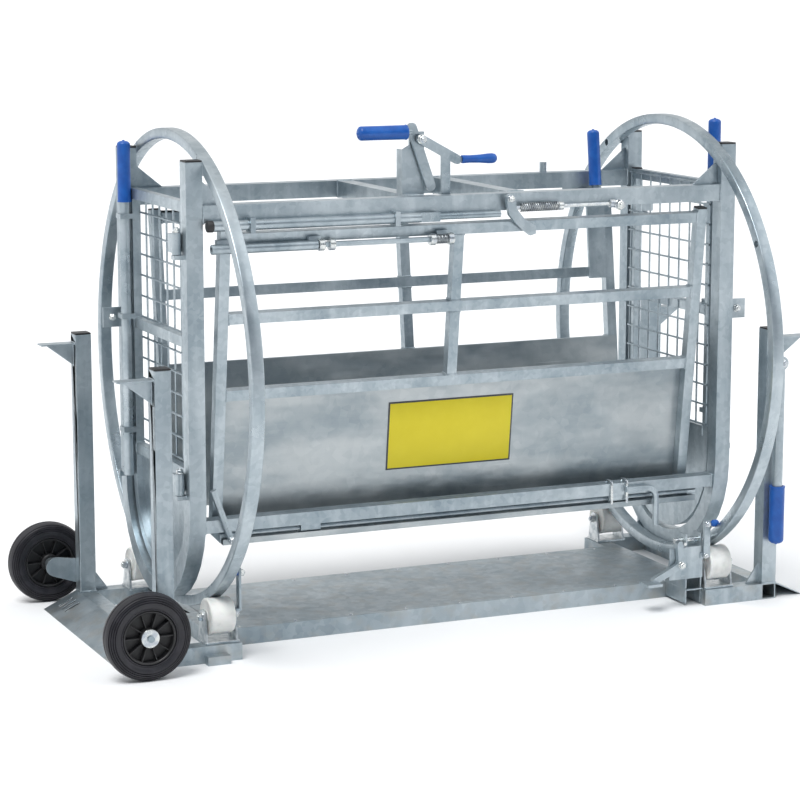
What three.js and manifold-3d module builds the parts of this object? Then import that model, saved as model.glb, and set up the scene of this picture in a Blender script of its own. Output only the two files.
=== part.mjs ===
// Sheep turnover squeeze crate: a rotor that rolls on four rollers in a low base, with two
// leaning squeeze panels, two mesh gates, transport wheels and folding handles.
// Millimetres, +Z up. +X runs along the crate, -Y is the front. The origin lies on the
// underside of the platform's centre rib, straight below the rotor's axis.
import * as THREE from 'three';
import { mergeVertices } from 'three/addons/utils/BufferGeometryUtils.js';
import Module from 'manifold-3d';

const wasm = await Module();
wasm.setup();

// ---- Driving dimensions ----
const TUBE = 40;
const WALL = 3;
const SHEET = 3;
const FIT = 0.3;
const RUNNING_FIT = 0.4;

const PLATFORM = { halfLength: 609, halfWidth: 201, top: 41, ribHalfWidth: 15 };
const END_FRAME = { outer: 810, halfWidth: 320 };
const RAMP = { reach: 897, halfWidth: 310, slots: 3, slotPitch: 26 };
const POST = { x: 790, y: 300, top: 680, pegReach: 105, pegTop: 620 };
const WHEEL = { x: -860, y: 392, radius: 100, width: 50, hubRadius: 62, axle: 8 };
const ROLLER = { x: 653, y: 280, z: 100, radius: 42, width: 60, pin: 6 };
const ROTOR = { z: 633, hoopRadius: 560, hoopDepth: 25, hoopInner: 638, plane: 668 };
const LOCK = { y: -280, holes: 4, bolt: 7, tip: 636, pinX: 548, pivotX: 540, pivotZ: 110 };
const FRAME = { halfWidth: 255, archZ: 343, top: 1133 };
const TOP_RAIL = { inner: 215, bottom: 996 };
const BOTTOM_RAIL = { inner: 200, bottom: 282, height: 30 };
const CROSS_X = 130;
const PANEL = { hingeY: 222, hingeZ: 272, lean: 6.85, reach: 628, bar: 25, inset: 47, height: 697 };
const PANEL_WINDOWS = { sheetTop: 330, midRail: 486, strapX: 405 };
const GATE = { hingeX: 721, hingeY: 225, halfWidth: 205, face: 29, depth: 20, bar: 25, top: 1040 };
const GATE_BARS = { mid: 706, sheetTop: 400, meshPitch: 50, wire: 5 };
const LATCH = { x: 12.5, radius: 13.5, bottom: 345, grip: 1007, top: 1155, fingerEnd: 431 };
const LATCH_PLACES = { left: { y: 415, lift: 0 }, right: { y: 375, lift: 36 } };
const KNUCKLES = [375, 925];
const KNUCKLE_HEIGHT = 50;
const HANDLE = { x: 795, y: 341, z: 600, radius: 12.5, gripRadius: 19, bottom: 144, gripTop: 292 };
const SQUEEZE = { x: -112, y: -192, z: 1165, gripReach: 157, gripZ: 16 };
const RELEASE = { y: -206, bendX: 92, bendZ: -50, postBottom: -165 };
const PULL = { y: -270, z: 990, radius: 12.5, left: -650, right: -143 };
const TRIGGER = { x: 87, z: 1024 };
const REAR_HANDLE = { x: 557, inset: 110, gripInset: 122, bladeTop: 712, gripBottom: 720, gripTop: 865 };

// ---- Shape helpers ----
function toSolid(geometry) {
  geometry.deleteAttribute('normal');
  geometry.deleteAttribute('uv');
  const merged = mergeVertices(geometry, 1e-4);
  const mesh = new wasm.Mesh({
    numProp: 3,
    vertProperties: new Float32Array(merged.attributes.position.array),
    triVerts: new Uint32Array(merged.index.array),
  });
  return new wasm.Manifold(mesh);
}

// A box between two limits on each axis, in either order.
function block(x, y, z) {
  const size = [x, y, z].map((span) => Math.abs(span[1] - span[0]));
  const middle = [x, y, z].map((span) => (span[0] + span[1]) / 2);
  const geometry = new THREE.BoxGeometry(...size);
  geometry.translate(...middle);
  return toSolid(geometry);
}

// The turn that lays a shape drawn in a plane, and its depth, across the named axis.
function basisFor(axis) {
  const basis = new THREE.Matrix4();
  const [x, y, z] = [new THREE.Vector3(1, 0, 0), new THREE.Vector3(0, 1, 0), new THREE.Vector3(0, 0, 1)];
  if (axis === 'x') {
    basis.makeBasis(y, z, x);
  } else if (axis === 'y') {
    basis.makeBasis(x, z, y.clone().negate());
  }
  return basis;
}

// An outline extruded along an axis. Its points are (y, z) on x, (x, z) on y and (x, y) on z.
function prism(axis, points, span) {
  const low = Math.min(...span);
  const high = Math.max(...span);
  const shape = new THREE.Shape(points.map(([u, v]) => new THREE.Vector2(u, v)));
  const geometry = new THREE.ExtrudeGeometry(shape, { depth: high - low, bevelEnabled: false });
  geometry.translate(0, 0, axis === 'y' ? -high : low);
  geometry.applyMatrix4(basisFor(axis));
  return toSolid(geometry);
}

function arc(u, v, radius, fromDegrees, toDegrees, steps) {
  const points = [];
  for (let i = 0; i <= steps; i += 1) {
    const angle = THREE.MathUtils.degToRad(fromDegrees + ((toDegrees - fromDegrees) * i) / steps);
    points.push([u + radius * Math.cos(angle), v + radius * Math.sin(angle)]);
  }
  return points;
}

function disc(axis, u, v, radius, span, sides = 12) {
  return prism(axis, arc(u, v, radius, 0, 360, sides).slice(0, -1), span);
}

// A flat bar with round ends between two points of its plane.
function roundBar(axis, from, to, halfWidth, span) {
  const heading = THREE.MathUtils.radToDeg(Math.atan2(to[1] - from[1], to[0] - from[0]));
  const points = [
    ...arc(from[0], from[1], halfWidth, heading + 90, heading + 270, 6),
    ...arc(to[0], to[1], halfWidth, heading - 90, heading + 90, 6),
  ];
  return prism(axis, points, span);
}

// A closed profile of (radius, height) points turned about the named axis.
function turned(axis, profile, segments) {
  const loop = [...profile, profile[0]].map(([r, h]) => new THREE.Vector2(r, h));
  const geometry = new THREE.LatheGeometry(loop, segments);
  if (axis === 'z') {
    geometry.rotateX(Math.PI / 2);
  } else if (axis === 'x') {
    geometry.rotateZ(-Math.PI / 2);
  }
  const solid = toSolid(geometry);
  return solid.volume() < 0 ? flipped(solid) : solid;
}

function flipped(solid) {
  const mesh = solid.getMesh();
  const triVerts = mesh.triVerts.slice();
  for (let i = 0; i < triVerts.length; i += 3) {
    [triVerts[i], triVerts[i + 1]] = [triVerts[i + 1], triVerts[i]];
  }
  return new wasm.Manifold(new wasm.Mesh({ numProp: 3, vertProperties: mesh.vertProperties, triVerts }));
}

function joined(...solids) {
  return solids.reduce((whole, next) => whole.add(next));
}

function toGeometry(solid) {
  const mesh = solid.getMesh();
  const geometry = new THREE.BufferGeometry();
  geometry.setAttribute('position', new THREE.BufferAttribute(mesh.vertProperties, 3));
  geometry.setIndex(new THREE.BufferAttribute(mesh.triVerts, 1));
  return geometry;
}

// ---- Materials ----
const LOOKS = {
  steel: { color: 0x9fa9ac, roughness: 0.42, metalness: 0.9 },
  sheet: { color: 0xa6afb1, roughness: 0.5, metalness: 0.85 },
  zinc: { color: 0xc3c8c6, roughness: 0.3, metalness: 0.95 },
  blue: { color: 0x1a4fa8, roughness: 0.35, metalness: 0 },
  rubber: { color: 0x1a1b1c, roughness: 0.85, metalness: 0 },
  black: { color: 0x18191a, roughness: 0.45, metalness: 0 },
  white: { color: 0xe4e4de, roughness: 0.4, metalness: 0 },
};

function piece(parent, name, solid, look, position = [0, 0, 0]) {
  const mesh = new THREE.Mesh(toGeometry(solid), new THREE.MeshStandardMaterial(LOOKS[look]));
  mesh.name = name;
  mesh.position.set(...position);
  parent.add(mesh);
  return mesh;
}

// Both ends share their shapes: the right end is the left end turned half round.
function endGroup(parent, side) {
  const group = new THREE.Group();
  group.rotation.z = side === 'right' ? Math.PI : 0;
  parent.add(group);
  return group;
}

// ---- Base: platform, end frames, posts and ramps ----
function platform() {
  const { halfLength, halfWidth, top, ribHalfWidth } = PLATFORM;
  const under = top - SHEET;
  const outline = [
    [-halfWidth, 0],
    [-halfWidth, top],
    [halfWidth, top],
    [halfWidth, 0],
    [halfWidth - SHEET, 0],
    [halfWidth - SHEET, under],
    [ribHalfWidth, under],
    [ribHalfWidth, 0],
    [-ribHalfWidth, 0],
    [-ribHalfWidth, under],
    [SHEET - halfWidth, under],
    [SHEET - halfWidth, 0],
  ];
  return prism('x', outline, [FIT - halfLength, halfLength - FIT]);
}

// The left end frame; the outer cross-beam is a tube with open ends.
function endFrame(side) {
  const { outer, halfWidth } = END_FRAME;
  const inner = PLATFORM.halfLength;
  const crossBeam = block([-outer, TUBE - outer], [-halfWidth, halfWidth], [0, TUBE]);
  const bore = block(
    [WALL - outer, TUBE - outer - WALL],
    [-halfWidth - 1, halfWidth + 1],
    [WALL, TUBE - WALL],
  );
  let frame = crossBeam.subtract(bore);
  frame = frame.add(block([-inner - TUBE, -inner], [-halfWidth, halfWidth], [0, TUBE]));
  for (const end of [-1, 1]) {
    const beamY = [end * (halfWidth - TUBE), end * halfWidth];
    frame = frame.add(block([TUBE - outer - 1, -inner - 1], beamY, [0, TUBE]));
  }
  if (side === 'left') {
    const lugX = [-700, -645];
    frame = frame.add(block(lugX, [-halfWidth - 24, 1 - halfWidth], [0, 20]));
  }
  return frame;
}

function ramp(side) {
  const { reach, halfWidth, slots, slotPitch } = RAMP;
  const near = END_FRAME.outer + FIT;
  const outline = [
    [-near, TUBE],
    [-near, TUBE - SHEET],
    [SHEET * 2 - reach, 0],
    [-reach, 0],
    [-near - SHEET, TUBE],
  ];
  let plate = prism('y', outline, [-halfWidth, halfWidth]);
  if (side === 'left') {
    for (let i = 0; i < slots; i += 1) {
      const y = halfWidth - 40 - i * slotPitch;
      plate = plate.subtract(block([-reach + 28, -near - 22], [y - 5, y + 5], [-1, TUBE + 1]));
    }
  }
  return plate;
}

// A post with its top at +Z, its peg plate and foot gusset pointing along -X.
function post(handleSide) {
  const half = TUBE / 2;
  const height = POST.top - TUBE - FIT;
  const pegEnd = -half - POST.pegReach + half;
  let solid = block([-half, half], [-half, half], [0, height]);
  solid = solid.add(block([pegEnd, -half + 1], [-18, 18], [POST.pegTop - 4, POST.pegTop]));
  const brace = [[-half + 1, POST.pegTop - 3], [pegEnd + 14, POST.pegTop - 3], [-half + 1, POST.pegTop - 58]];
  solid = solid.add(prism('y', brace, [-2, 2]));
  const foot = [[half - 1, 0], [half + 36, 0], [half - 1, 52]];
  solid = solid.add(prism('y', foot, [-2, 2]));
  if (handleSide !== 0) {
    const pinX = POST.x - HANDLE.x;
    const pinZ = HANDLE.z - TUBE - FIT;
    const pinY = [handleSide * (half - 1), handleSide * (HANDLE.y - POST.y + 13)];
    solid = solid.add(disc('y', pinX, pinZ, 6, pinY, 12));
  }
  return solid;
}

// ---- Transport wheels on the left posts ----
function wheelArm(side) {
  const plateY = [END_FRAME.halfWidth + FIT, END_FRAME.halfWidth + 8].map((y) => side * y);
  const wheelInner = WHEEL.y - WHEEL.width / 2;
  const outline = [
    [TUBE - END_FRAME.outer, TUBE + 4],
    [TUBE - END_FRAME.outer, TUBE + 72],
    ...arc(WHEEL.x, WHEEL.radius, 24, 80, 250, 8),
  ];
  const plate = prism('y', outline, plateY);
  const sleeve = disc('y', WHEEL.x, WHEEL.radius, 15, [plateY[0], side * (wheelInner - 1)], 16);
  const axle = disc('y', WHEEL.x, WHEEL.radius, WHEEL.axle, [plateY[0], side * (WHEEL.y + 32)], 16);
  return joined(plate, sleeve, axle);
}

function tyre() {
  const half = WHEEL.width / 2;
  const inner = WHEEL.hubRadius + FIT;
  const profile = [
    [inner, -half + 6],
    [WHEEL.radius - 22, -half],
    [WHEEL.radius - 8, -half + 2],
    [WHEEL.radius, -half + 10],
    [WHEEL.radius, half - 10],
    [WHEEL.radius - 8, half - 2],
    [WHEEL.radius - 22, half],
    [inner, half - 6],
  ];
  return turned('y', profile, 24);
}

function wheelHub() {
  const bore = WHEEL.axle + RUNNING_FIT;
  const profile = [
    [bore, -24],
    [22, -24],
    [50, -9],
    [50, -19],
    [WHEEL.hubRadius, -19],
    [WHEEL.hubRadius, 19],
    [50, 19],
    [50, 9],
    [22, 24],
    [bore, 24],
  ];
  return turned('y', profile, 24);
}

// ---- Rollers that carry the hoops ----
function rollerBracket() {
  const inner = ROLLER.width / 2 + 4;
  const base = block([-41, 41], [-30, 30], [TUBE + FIT, TUBE + 5]);
  const cheek = [
    [-28, TUBE + 3],
    [28, TUBE + 3],
    ...arc(0, ROLLER.z, 17, 0, 180, 8),
  ];
  const left = prism('x', cheek, [-inner - 5, -inner]);
  const right = prism('x', cheek, [inner, inner + 5]);
  const pin = disc('x', 0, ROLLER.z, ROLLER.pin, [-inner - 9, inner + 9], 16);
  return joined(base, left, right, pin);
}

function roller() {
  const half = ROLLER.width / 2;
  const bore = ROLLER.pin + RUNNING_FIT;
  const profile = [
    [bore, -half],
    [ROLLER.radius - 3, -half],
    [ROLLER.radius, -half + 3],
    [ROLLER.radius, half - 3],
    [ROLLER.radius - 3, half],
    [bore, half],
  ];
  return turned('x', profile, 24);
}

// ---- Rotor lock: a sliding bolt that a foot pedal pushes into the hoop ----
const HOOP_MID = ROTOR.hoopRadius - ROTOR.hoopDepth / 2;
const LOCK_Z = ROTOR.z - Math.sqrt(HOOP_MID ** 2 - LOCK.y ** 2);

function lockHousing() {
  const skirtY = -PLATFORM.halfWidth - FIT;
  const faceY = -300;
  const endX = PLATFORM.halfLength - FIT;
  const cheek = [
    [skirtY, 6],
    [skirtY, 60],
    [-240, 150],
    [-262, LOCK_Z + 18],
    [faceY + 1, LOCK_Z + 18],
    [faceY + 1, 6],
  ];
  const boltHole = disc('x', LOCK.y, LOCK_Z, LOCK.bolt + 0.6, [500, 640], 16);
  const rightCheek = prism('x', cheek, [endX - 4, endX]);
  const leftCheek = prism('x', cheek, [563, 567]);
  const face = block([515, endX], [faceY - 4, faceY], [70, 150]);
  const bridge = block([563, endX], [faceY - 1, -241], [144, 148]);
  const pivot = disc('y', LOCK.pivotX, LOCK.pivotZ, 5, [faceY - 23, faceY - 3], 12);
  return joined(rightCheek, leftCheek, face, bridge, pivot).subtract(boltHole);
}

function lockBolt() {
  const bolt = disc('x', LOCK.y, LOCK_Z, LOCK.bolt, [LOCK.pinX - 8, LOCK.tip], 16);
  const crossPin = disc('y', LOCK.pinX, LOCK_Z, 4, [-322, LOCK.y], 12);
  return bolt.add(crossPin);
}

// Drawn about its pivot: the upper end pushes the bolt's cross pin, the tread is at the foot.
function lockPedal() {
  const lift = LOCK_Z - LOCK.pivotZ;
  const across = [-320, -306];
  const armEnd = [LOCK.pinX - 12.5 - LOCK.pivotX, lift];
  const arm = roundBar('y', [0, 0], armEnd, 8, across);
  const boss = disc('y', 0, 0, 13, across, 16);
  const shank = roundBar('y', [0, 0], [-72, -34], 8, across);
  const tread = block([-106, -66], [-345, -300], [-42, -35]);
  const bore = disc('y', 0, 0, 5.5, [-330, -300], 12);
  return joined(arm, boss, shank, tread).subtract(bore);
}

// ---- Folding transport handles on the right posts ----
function transportArm(side) {
  const tubeEnd = HANDLE.bottom + 6.6 - HANDLE.z;
  const tube = disc('z', 0, 0, HANDLE.radius, [tubeEnd, 0]);
  const boss = disc('y', 0, 0, 17, [side * -19, side * 11], 20);
  const bore = disc('y', 0, 0, 6.5, [-40, 40], 12);
  return tube.add(boss).subtract(bore);
}

function sleeveGrip(length, bore, radius) {
  const profile = [
    [0, length],
    [radius - 4, length],
    [radius, length - 4],
    [radius, 2],
    [radius - 2, 0],
    [bore, 0],
    [bore, length - 6],
    [0, length - 6],
  ];
  return turned('z', profile, 12);
}

// ---- Rotor: hoops, end frames and rails ----
function hoop(side) {
  const depth = ROTOR.plane - ROTOR.hoopInner - FIT;
  const inner = ROTOR.hoopRadius - ROTOR.hoopDepth;
  const profile = [
    [inner, 0],
    [ROTOR.hoopRadius, 0],
    [ROTOR.hoopRadius, depth],
    [inner, depth],
  ];
  let ring = turned('x', profile, 72);
  if (side === 'right') {
    const first = THREE.MathUtils.radToDeg(Math.atan2(LOCK_Z - ROTOR.z, LOCK.y));
    for (const [y, z] of arc(0, 0, HOOP_MID, first, first + 360, LOCK.holes).slice(1)) {
      ring = ring.subtract(disc('x', y, z, LOCK.bolt + 1.7, [-5, depth + 5], 8));
    }
  }
  return ring;
}

// The left U frame, with the gate's hinge pins, the latch shelf and a bracket plate.
function rotorFrame(latchLift) {
  const { halfWidth, archZ, top } = FRAME;
  const inner = halfWidth - TUBE;
  const outline = [
    [-halfWidth, top],
    ...arc(0, archZ, halfWidth, 180, 360, 16),
    [halfWidth, top],
    [inner, top],
    ...arc(0, archZ, inner, 360, 180, 16),
    [-inner, top],
  ];
  const outerX = -ROTOR.plane - TUBE;
  let frame = prism('x', outline, [outerX, -ROTOR.plane]);
  const pinX = -GATE.hingeX;
  const pinY = -GATE.hingeY;
  for (const z of KNUCKLES) {
    frame = frame.add(block([pinX - 10, outerX + 1], [pinY - 10, pinY + 10], [z - 11, z - 1]));
    frame = frame.add(disc('z', pinX, pinY, 6, [z - 5, z + KNUCKLE_HEIGHT - 4], 12));
  }
  const shelfTop = LATCH.bottom + latchLift + 6;
  frame = frame.add(block([outerX - 16, outerX + 1], [217, 231], [shelfTop - 14, shelfTop]));
  frame = frame.add(block([outerX - 46, outerX + 1], [232, 237], [702, 750]));
  return frame;
}

function topRail(side) {
  const { inner, bottom } = TOP_RAIL;
  const end = ROTOR.plane - FIT;
  const y = [side * inner, side * (inner + TUBE)];
  let rail = block([-end, end], y, [bottom, bottom + TUBE]);
  for (const sign of [-1, 1]) {
    const low = bottom + TUBE - 1;
    const brace = [[sign * end, low], [sign * (end - 70), low], [sign * end, low + 57]];
    rail = rail.add(prism('y', brace, [side * 232, side * 236]));
  }
  if (side < 0) {
    const outer = -inner - TUBE;
    for (const x of [-560, -205]) {
      const strap = block([x - 6, x + 6], [PULL.y - 17, outer + 1], [PULL.z - 17, PULL.z + 17]);
      const bore = disc('x', PULL.y, PULL.z, PULL.radius + 0.9, [x - 9, x + 9], 12);
      rail = rail.add(strap.subtract(bore));
    }
    rail = rail.add(disc('y', TRIGGER.x, TRIGGER.z, 6, [PULL.y - 14, outer + 1], 12));
    rail = rail.add(block([368, 382], [PULL.y - 8, outer + 1], [PULL.z + 2, PULL.z + 18]));
  } else {
    rail = rail.add(disc('z', 430, 235, 9, [bottom + TUBE - 1, bottom + TUBE + 26], 12));
    rail = rail.add(block([478, 590], [inner + 1, inner + 5], [bottom - 13, bottom + 1]));
  }
  return rail;
}

// The lower rail, with the strap loops that hold the panel's hinge rod.
function bottomRail() {
  const { inner, bottom, height } = BOTTOM_RAIL;
  const end = ROTOR.plane - FIT;
  let rail = block([-end, end], [-inner - TUBE, -inner], [bottom, bottom + height]);
  for (const x of [-PANEL_WINDOWS.strapX, PANEL_WINDOWS.strapX]) {
    const span = [x - 25, x + 25];
    const cheek = block(span, [-PANEL.hingeY - 13, 13 - PANEL.hingeY], [PANEL.hingeZ, bottom + 1]);
    const loop = disc('x', -PANEL.hingeY, PANEL.hingeZ, 13, span, 12);
    const bore = disc('x', -PANEL.hingeY, PANEL.hingeZ, 8.9, [x - 30, x + 30], 12);
    rail = rail.add(cheek.add(loop).subtract(bore));
  }
  return rail;
}

function crossMember(x, leverStand) {
  const end = TOP_RAIL.inner - FIT;
  const top = TOP_RAIL.bottom + TUBE;
  let member = block([x - TUBE / 2, x + TUBE / 2], [-end, end], [TOP_RAIL.bottom, top]);
  if (leverStand) {
    const standTop = SQUEEZE.z + 16;
    const stand = [
      [x - 20, top - 1],
      [x + 36, top - 1],
      [x + 36, standTop],
      [x - 2, standTop],
      [x - 2, standTop - 31],
      [x - 20, standTop - 41],
    ];
    member = member.add(prism('y', stand, [-184, -178]));
    member = member.add(block([x - 20, x - 15], [-184, -150], [top - 1, standTop - 41]));
    member = member.add(disc('y', SQUEEZE.x, SQUEEZE.z, 6, [-213, -180], 12));
  }
  return member;
}

// ---- Squeeze panels, drawn about the hinge rod; local Y points inward ----
function panelFrame() {
  const { reach, bar, inset, height } = PANEL;
  const { sheetTop, midRail } = PANEL_WINDOWS;
  const across = [inset, inset + bar];
  const span = [-reach, reach];
  let frame = block(span, across, [height - bar, height]);
  frame = frame.add(block(span, across, [midRail, midRail + bar]));
  frame = frame.add(block(span, across, [sheetTop - bar, sheetTop]));
  frame = frame.add(block([-48, -23], across, [sheetTop - 1, height - 1]));
  for (const sign of [-1, 1]) {
    const uprightX = [sign * (reach - bar), sign * reach];
    frame = frame.add(block(uprightX, across, [-16, height + 8]));
    frame = frame.add(block(uprightX, [-8, inset + 1], [-16, 5]));
  }
  return frame.add(disc('x', 0, 0, 8, span, 12));
}

// The sheet is folded outward under the rail and turned up in a lip.
function panelSheet() {
  const face = PANEL.inset + PANEL.bar + FIT;
  const end = PANEL.reach - PANEL.bar;
  const top = PANEL_WINDOWS.sheetTop;
  const outline = [
    [face, top],
    [face + 2, top],
    [face + 2, -20],
    [-16, -20],
    [-16, -6],
    [-14, -6],
    [-14, -18],
    [face, -18],
  ];
  return prism('x', outline, [-end - 20, end + 20]);
}

// ---- Gates, drawn about the hinge axis of the left one; Y runs to the free edge ----
function gateOutline(inset) {
  const { halfWidth, hingeY, top } = GATE;
  const half = halfWidth - inset;
  return [
    [hingeY + half, top - inset],
    [hingeY - half, top - inset],
    ...arc(hingeY, FRAME.archZ, half, 180, 360, 16),
  ];
}

function gateFrame(latchY) {
  const { face, depth, bar, hingeY, halfWidth } = GATE;
  const back = face + depth;
  const window = prism('x', gateOutline(bar), [face - 1, back + 1]);
  let frame = prism('x', gateOutline(0), [face, back]).subtract(window);
  const barY = [hingeY - halfWidth + bar - 1, hingeY + halfWidth - bar + 1];
  const sheetTop = GATE_BARS.sheetTop;
  for (const z of [GATE_BARS.mid, sheetTop]) {
    frame = frame.add(block([face, back], barY, [z, z + bar]));
  }
  const overSheet = block([face, back + 1], [0, 500], [sheetTop + 1, 1200]);
  const sheet = prism('x', gateOutline(bar - 2), [back - SHEET, back]).subtract(overSheet);
  frame = frame.add(sheet);
  for (const z of KNUCKLES) {
    const span = [z + 4, z + KNUCKLE_HEIGHT - 4];
    let knuckle = disc('z', 0, 0, 10.5, [z, z + KNUCKLE_HEIGHT], 16);
    knuckle = knuckle.add(block([-9, 4], [5, 34], span));
    knuckle = knuckle.add(block([-9, face + 1], [15, 34], span));
    frame = frame.add(knuckle.subtract(disc('z', 0, 0, 6.5, [z - 1, z + KNUCKLE_HEIGHT + 1], 12)));
  }
  for (const z of [452, 728, 968]) {
    const guideEnd = Math.max(latchY + 17, hingeY + halfWidth - bar + 5);
    const guide = block([-4, face + 1], [latchY - 18, guideEnd], [z, z + 12]);
    frame = frame.add(guide.subtract(disc('z', LATCH.x, latchY, LATCH.radius + 0.9, [z - 1, z + 13], 12)));
  }
  return frame;
}

// Welded mesh: flat wires at one pitch both ways, welded into one grid.
function gateMesh() {
  const { hingeY, halfWidth, face, depth, top } = GATE;
  const { meshPitch, wire, sheetTop } = GATE_BARS;
  const x = [face + depth + FIT, face + depth + FIT + wire - 1];
  const columns = Math.floor((halfWidth - 2) / meshPitch);
  const rows = Math.floor((top - 8 - sheetTop) / meshPitch);
  const high = top - 8;
  const low = high - rows * meshPitch;
  const half = wire / 2;
  const overhang = 4;
  const reach = columns * meshPitch + overhang;
  const acrossY = [hingeY - reach, hingeY + reach];
  let grid = block(x, acrossY, [low - half, low + half]);
  for (let column = -columns; column <= columns; column += 1) {
    const y = hingeY + column * meshPitch;
    grid = grid.add(block(x, [y - half, y + half], [low - overhang, high + overhang]));
  }
  for (let row = 1; row <= rows; row += 1) {
    const z = low + row * meshPitch;
    grid = grid.add(block(x, acrossY, [z - half, z + half]));
  }
  return grid;
}

// The latch tube slides in the gate's guides; its finger ends just short of the shelf on the frame.
function latchTube(latchY) {
  const tube = disc('z', LATCH.x, latchY, LATCH.radius, [LATCH.bottom, LATCH.top - 6.6], 12);
  const finger = block([-1, 11], [latchY, LATCH.fingerEnd], [LATCH.bottom + 7, LATCH.bottom + 19]);
  return tube.add(finger);
}

// ---- Levers on the rotor ----
function squeezeLever() {
  const across = [SQUEEZE.y - 4, SQUEEZE.y + 4];
  const top = [-18, 26];
  let lever = roundBar('y', top, [30.5, -111], 12, across);
  lever = lever.subtract(disc('y', 0, 0, 6.5, [SQUEEZE.y - 9, SQUEEZE.y + 9], 12));
  const stem = disc('x', SQUEEZE.y, SQUEEZE.gripZ, 7, [6.6 - SQUEEZE.gripReach, -18]);
  return lever.add(stem);
}

function releaseLever() {
  const { y, bendX, bendZ, postBottom } = RELEASE;
  const across = [y - 4, y + 4];
  let lever = roundBar('y', [0, 0], [bendX, bendZ], 11, across);
  lever = lever.add(block([bendX - 4, bendX + 94], across, [bendZ - 5, bendZ + 5]));
  lever = lever.add(block([51, 74], [y - 3, y + 3], [postBottom, bendZ + 20]));
  return lever.subtract(disc('y', 0, 0, 6.5, [y - 9, y + 9], 12));
}

function releaseGrip() {
  const { y, bendX, bendZ } = RELEASE;
  const grip = block([bendX + 12, bendX + 102], [y - 14, y + 14], [bendZ - 12, bendZ + 12]);
  const slot = block([bendX, bendX + 94.4], [y - 4.3, y + 4.3], [bendZ - 5.3, bendZ + 5.3]);
  return grip.subtract(slot);
}

function pullRod() {
  const tube = disc('x', PULL.y, PULL.z, PULL.radius, [PULL.left, PULL.right]);
  const clevis = block([PULL.right - 1, -96], [PULL.y - 10, PULL.y + 10], [PULL.z - 11, PULL.z + 11]);
  const rod = disc('x', PULL.y, PULL.z, 8, [-97, 62], 16);
  return joined(tube, clevis, rod);
}

// A curved flat trigger that hangs from its pivot on the front rail.
function triggerLever() {
  const outline = [
    ...arc(0, 0, 12, 20, 200, 6),
    [-4, -38],
    [22, -66],
    [52, -88],
    [66, -84],
    [66, -66],
    [38, -50],
    [16, -24],
  ];
  const across = [PULL.y - 8, PULL.y + 4];
  return prism('y', outline, across).subtract(disc('y', 0, 0, 6.5, [PULL.y - 12, PULL.y + 12], 12));
}

// The handle stands off the rear panel's two upper rails, so that it passes the top rail.
function rearHandle() {
  const { x, inset, gripInset, bladeTop, gripTop } = REAR_HANDLE;
  const { midRail } = PANEL_WINDOWS;
  const bladeX = [-x - 25, 25 - x];
  const face = PANEL.inset + PANEL.bar + FIT;
  let handle = block(bladeX, [inset, inset + 8], [midRail - 4, bladeTop]);
  for (const z of [midRail, PANEL.height - PANEL.bar]) {
    handle = handle.add(block([-x - 12, 12 - x], [face, inset + 1], [z, z + PANEL.bar]));
  }
  return handle.add(block([-x - 8, 8 - x], [gripInset - 5, gripInset + 5], [bladeTop - 20, gripTop - 6.6]));
}

function rearGrip() {
  const { x, gripInset, gripBottom, gripTop } = REAR_HANDLE;
  const grip = disc('z', -x, gripInset, 16, [gripBottom, gripTop], 16);
  const slot = block([-x - 8.3, 8.3 - x], [gripInset - 5.3, gripInset + 5.3], [gripBottom - 1, gripTop - 6]);
  return grip.subtract(slot);
}

// ---- Assembly ----
function addBase(parent) {
  piece(parent, 'base_platform', platform(), 'sheet');
  for (const side of ['left', 'right']) {
    const end = endGroup(parent, side);
    piece(end, `base_end_frame_${side}`, endFrame(side), 'steel');
    piece(end, `ramp_${side}`, ramp(side), 'sheet');
    for (const y of [-1, 1]) {
      const turn = side === 'right' ? -1 : 1;
      const place = y * turn < 0 ? 'front' : 'rear';
      const handleSide = side === 'right' ? y : 0;
      const foot = [-POST.x, y * POST.y, TUBE + FIT];
      piece(end, `post_${side}_${place}`, post(handleSide), 'steel', foot);
      const seat = [-ROLLER.x, y * ROLLER.y, 0];
      piece(end, `roller_bracket_${side}_${place}`, rollerBracket(), 'zinc', seat);
      piece(end, `roller_${side}_${place}`, roller(), 'white', [seat[0], seat[1], ROLLER.z]);
    }
  }
}

function addWheels(parent) {
  for (const [place, side] of [['front', -1], ['rear', 1]]) {
    piece(parent, `wheel_arm_${place}`, wheelArm(side), 'steel');
    const centre = [WHEEL.x, side * WHEEL.y, WHEEL.radius];
    piece(parent, `wheel_tyre_${place}`, tyre(), 'rubber', centre);
    piece(parent, `wheel_hub_${place}`, wheelHub(), 'black', centre);
  }
}

function addLock(parent) {
  piece(parent, 'lock_housing', lockHousing(), 'steel');
  piece(parent, 'lock_bolt', lockBolt(), 'zinc');
  piece(parent, 'lock_pedal', lockPedal(), 'steel', [LOCK.pivotX, 0, LOCK.pivotZ]);
}

function addHandles(parent) {
  for (const [place, side] of [['front', -1], ['rear', 1]]) {
    const hinge = new THREE.Group();
    hinge.position.set(HANDLE.x, side * HANDLE.y, HANDLE.z);
    parent.add(hinge);
    piece(hinge, `transport_arm_${place}`, transportArm(side), 'steel');
    const grip = sleeveGrip(HANDLE.gripTop - HANDLE.bottom, HANDLE.radius + FIT, HANDLE.gripRadius);
    const mesh = piece(hinge, `transport_grip_${place}`, grip, 'blue');
    mesh.position.z = HANDLE.gripTop - HANDLE.z;
    mesh.rotation.x = Math.PI;
  }
}

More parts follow.
